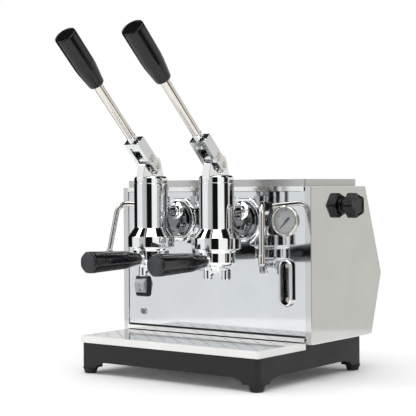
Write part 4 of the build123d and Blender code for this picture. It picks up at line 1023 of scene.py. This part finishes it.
world = bpy.data.worlds.new("studio")
bpy.context.scene.world = world
world.use_nodes = True
tree = world.node_tree
tree.nodes.clear()
coord = tree.nodes.new("ShaderNodeTexCoord")
split = tree.nodes.new("ShaderNodeSeparateXYZ")
tree.links.new(coord.outputs["Generated"], split.inputs[0])


def world_math(kind, a, b):
    made = tree.nodes.new("ShaderNodeMath")
    made.operation = kind
    for socket, value in zip(made.inputs, (a, b)):
        if isinstance(value, (int, float)):
            socket.default_value = value
        else:
            tree.links.new(value, socket)
    return made.outputs[0]


def world_ramp(fac, stops):
    made = tree.nodes.new("ShaderNodeValToRGB")
    elements = made.color_ramp.elements
    while len(elements) < len(stops):
        elements.new(0.5)
    for element, (at, value) in zip(elements, stops):
        element.position = at
        element.color = (*value, 1) if isinstance(value, tuple) else (value, value, value, 1)
    tree.links.new(fac, made.inputs[0])
    return made.outputs[0]


def world_mix(fac, a, b):
    made = tree.nodes.new("ShaderNodeMix")
    made.data_type = "RGBA"
    for index, value in ((0, fac), (6, a), (7, b)):
        if isinstance(value, tuple):
            made.inputs[index].default_value = (*value, 1)
        else:
            tree.links.new(value, made.inputs[index])
    return made.outputs[2]


def round_the_object(stops):
    """A ramp over the bearing: 0 towards the camera's side, growing to its right, in degrees."""
    return world_ramp(share, [((angle + 180) / 360, value) for angle, value in stops])


DARK = (0.006, 0.006, 0.006)
FLAG = (0.008, 0.008, 0.008)
SKY = (0.95, 0.97, 1.0)
WHITE = (1.0, 1.0, 1.0)
COOL = (0.93, 0.95, 0.97)
WARM = (0.84, 0.835, 0.81)
REAR = (0.80, 0.80, 0.80)
BANDS = [  # bearing and brightness round the object
    (-180, REAR), (-168, REAR), (-160, (0.02, 0.02, 0.02)), (-131, DARK), (-107, DARK),
    (-102, (0.93, 0.93, 0.93)), (-62, COOL), (-57, (0.60, 0.62, 0.63)), (-29, (0.50, 0.52, 0.53)),
    (-25, DARK), (7, DARK), (10, WHITE), (50, WHITE), (54, (0.01, 0.01, 0.01)), (80, (0.02, 0.02, 0.02)),
    (88, WARM), (128, (0.84, 0.83, 0.80)), (180, REAR)]
FAR_FLAG = [(-180, 1.0), (-108, 1.0), (-102, 0.0), (102, 0.0), (108, 1.0), (180, 1.0)]
NEAR_FLAG = [(-180, 1.0), (-58, 1.0), (-48, 0.0), (40, 0.0), (50, 1.0), (180, 1.0)]
FAR_RISE = [(0.0, 0.0), (0.26, 0.0), (0.32, 1.0), (0.91, 1.0), (0.93, 0.0)]
NEAR_RISE = [(0.0, 0.0), (0.70, 0.0), (0.76, 1.0), (0.91, 1.0), (0.93, 0.0)]
OVERHEAD = [(0.91, 0.0), (0.93, 1.0)]

bearing = world_math("ARCTAN2", split.outputs[1], split.outputs[0])
towards = math.atan2(-cos(AZIMUTH), sin(AZIMUTH))
turned = world_math("SUBTRACT", bearing, towards)
share = world_math("FRACT", world_math("ADD", world_math("DIVIDE", turned, 2 * pi), 1.5), 0.0)
rise = split.outputs[2]
far_flag = world_math("MULTIPLY", round_the_object(FAR_FLAG), world_ramp(rise, FAR_RISE))
near_flag = world_math("MULTIPLY", round_the_object(NEAR_FLAG), world_ramp(rise, NEAR_RISE))
seen = world_mix(world_math("MAXIMUM", far_flag, near_flag), round_the_object(BANDS), FLAG)
seen = world_mix(world_ramp(rise, OVERHEAD), seen, SKY)
# mirrors see the bands; matt surfaces are lit evenly, and the background is white
path = tree.nodes.new("ShaderNodeLightPath")
lit = world_mix(path.outputs["Is Diffuse Ray"], seen, WHITE)
lit = world_mix(path.outputs["Is Camera Ray"], lit, WHITE)
back = tree.nodes.new("ShaderNodeBackground")
back.inputs["Strength"].default_value = 1.0
tree.links.new(lit, back.inputs["Color"])
out = tree.nodes.new("ShaderNodeOutputWorld")
tree.links.new(back.outputs[0], out.inputs[0])


def softbox(name, place, aim, size, power):
    data = bpy.data.lights.new(name, "AREA")
    data.shape = "RECTANGLE"
    data.size, data.size_y = size
    data.energy = power
    obj = bpy.data.objects.new(name, data)
    obj.location = place
    obj.rotation_mode = "QUATERNION"
    obj.rotation_quaternion = (Vector(aim) - Vector(place)).to_track_quat("-Z", "Y")
    bpy.context.scene.collection.objects.link(obj)


softbox("top_light", (0.2, -0.3, 2.4), (0, 0, 0.2), (1.6, 1.6), 16.0)
softbox("left_light", (-1.5, -1.1, 1.9), (0, 0, 0.25), (0.5, 1.2), 12.0)
softbox("right_light", (1.6, -0.9, 1.9), (0, 0, 0.25), (0.4, 1.2), 8.0)

LENS = 107.307692
SHIFT_UP = -0.04975962
EYE_X = 1.193
EYE_BEFORE_PANEL = 1.554
EYE_Z = 0.293
ROLL = radians(0.4)
camera = bpy.data.cameras.new("camera")
camera.sensor_width = 36.0
camera.lens = LENS
camera.shift_y = SHIFT_UP
eye = bpy.data.objects.new("camera", camera)
bpy.context.scene.collection.objects.link(eye)
eye.location = (EYE_X, PANEL * MM - EYE_BEFORE_PANEL, EYE_Z)
look = Vector((-sin(AZIMUTH), cos(AZIMUTH), 0))
level_view = look.to_track_quat("-Z", "Y").to_matrix()
eye.rotation_mode = "QUATERNION"
eye.rotation_quaternion = (Matrix.Rotation(ROLL, 3, look) @ level_view).to_quaternion()
bpy.context.scene.camera = eye
bpy.context.scene.view_settings.view_transform = "Standard"
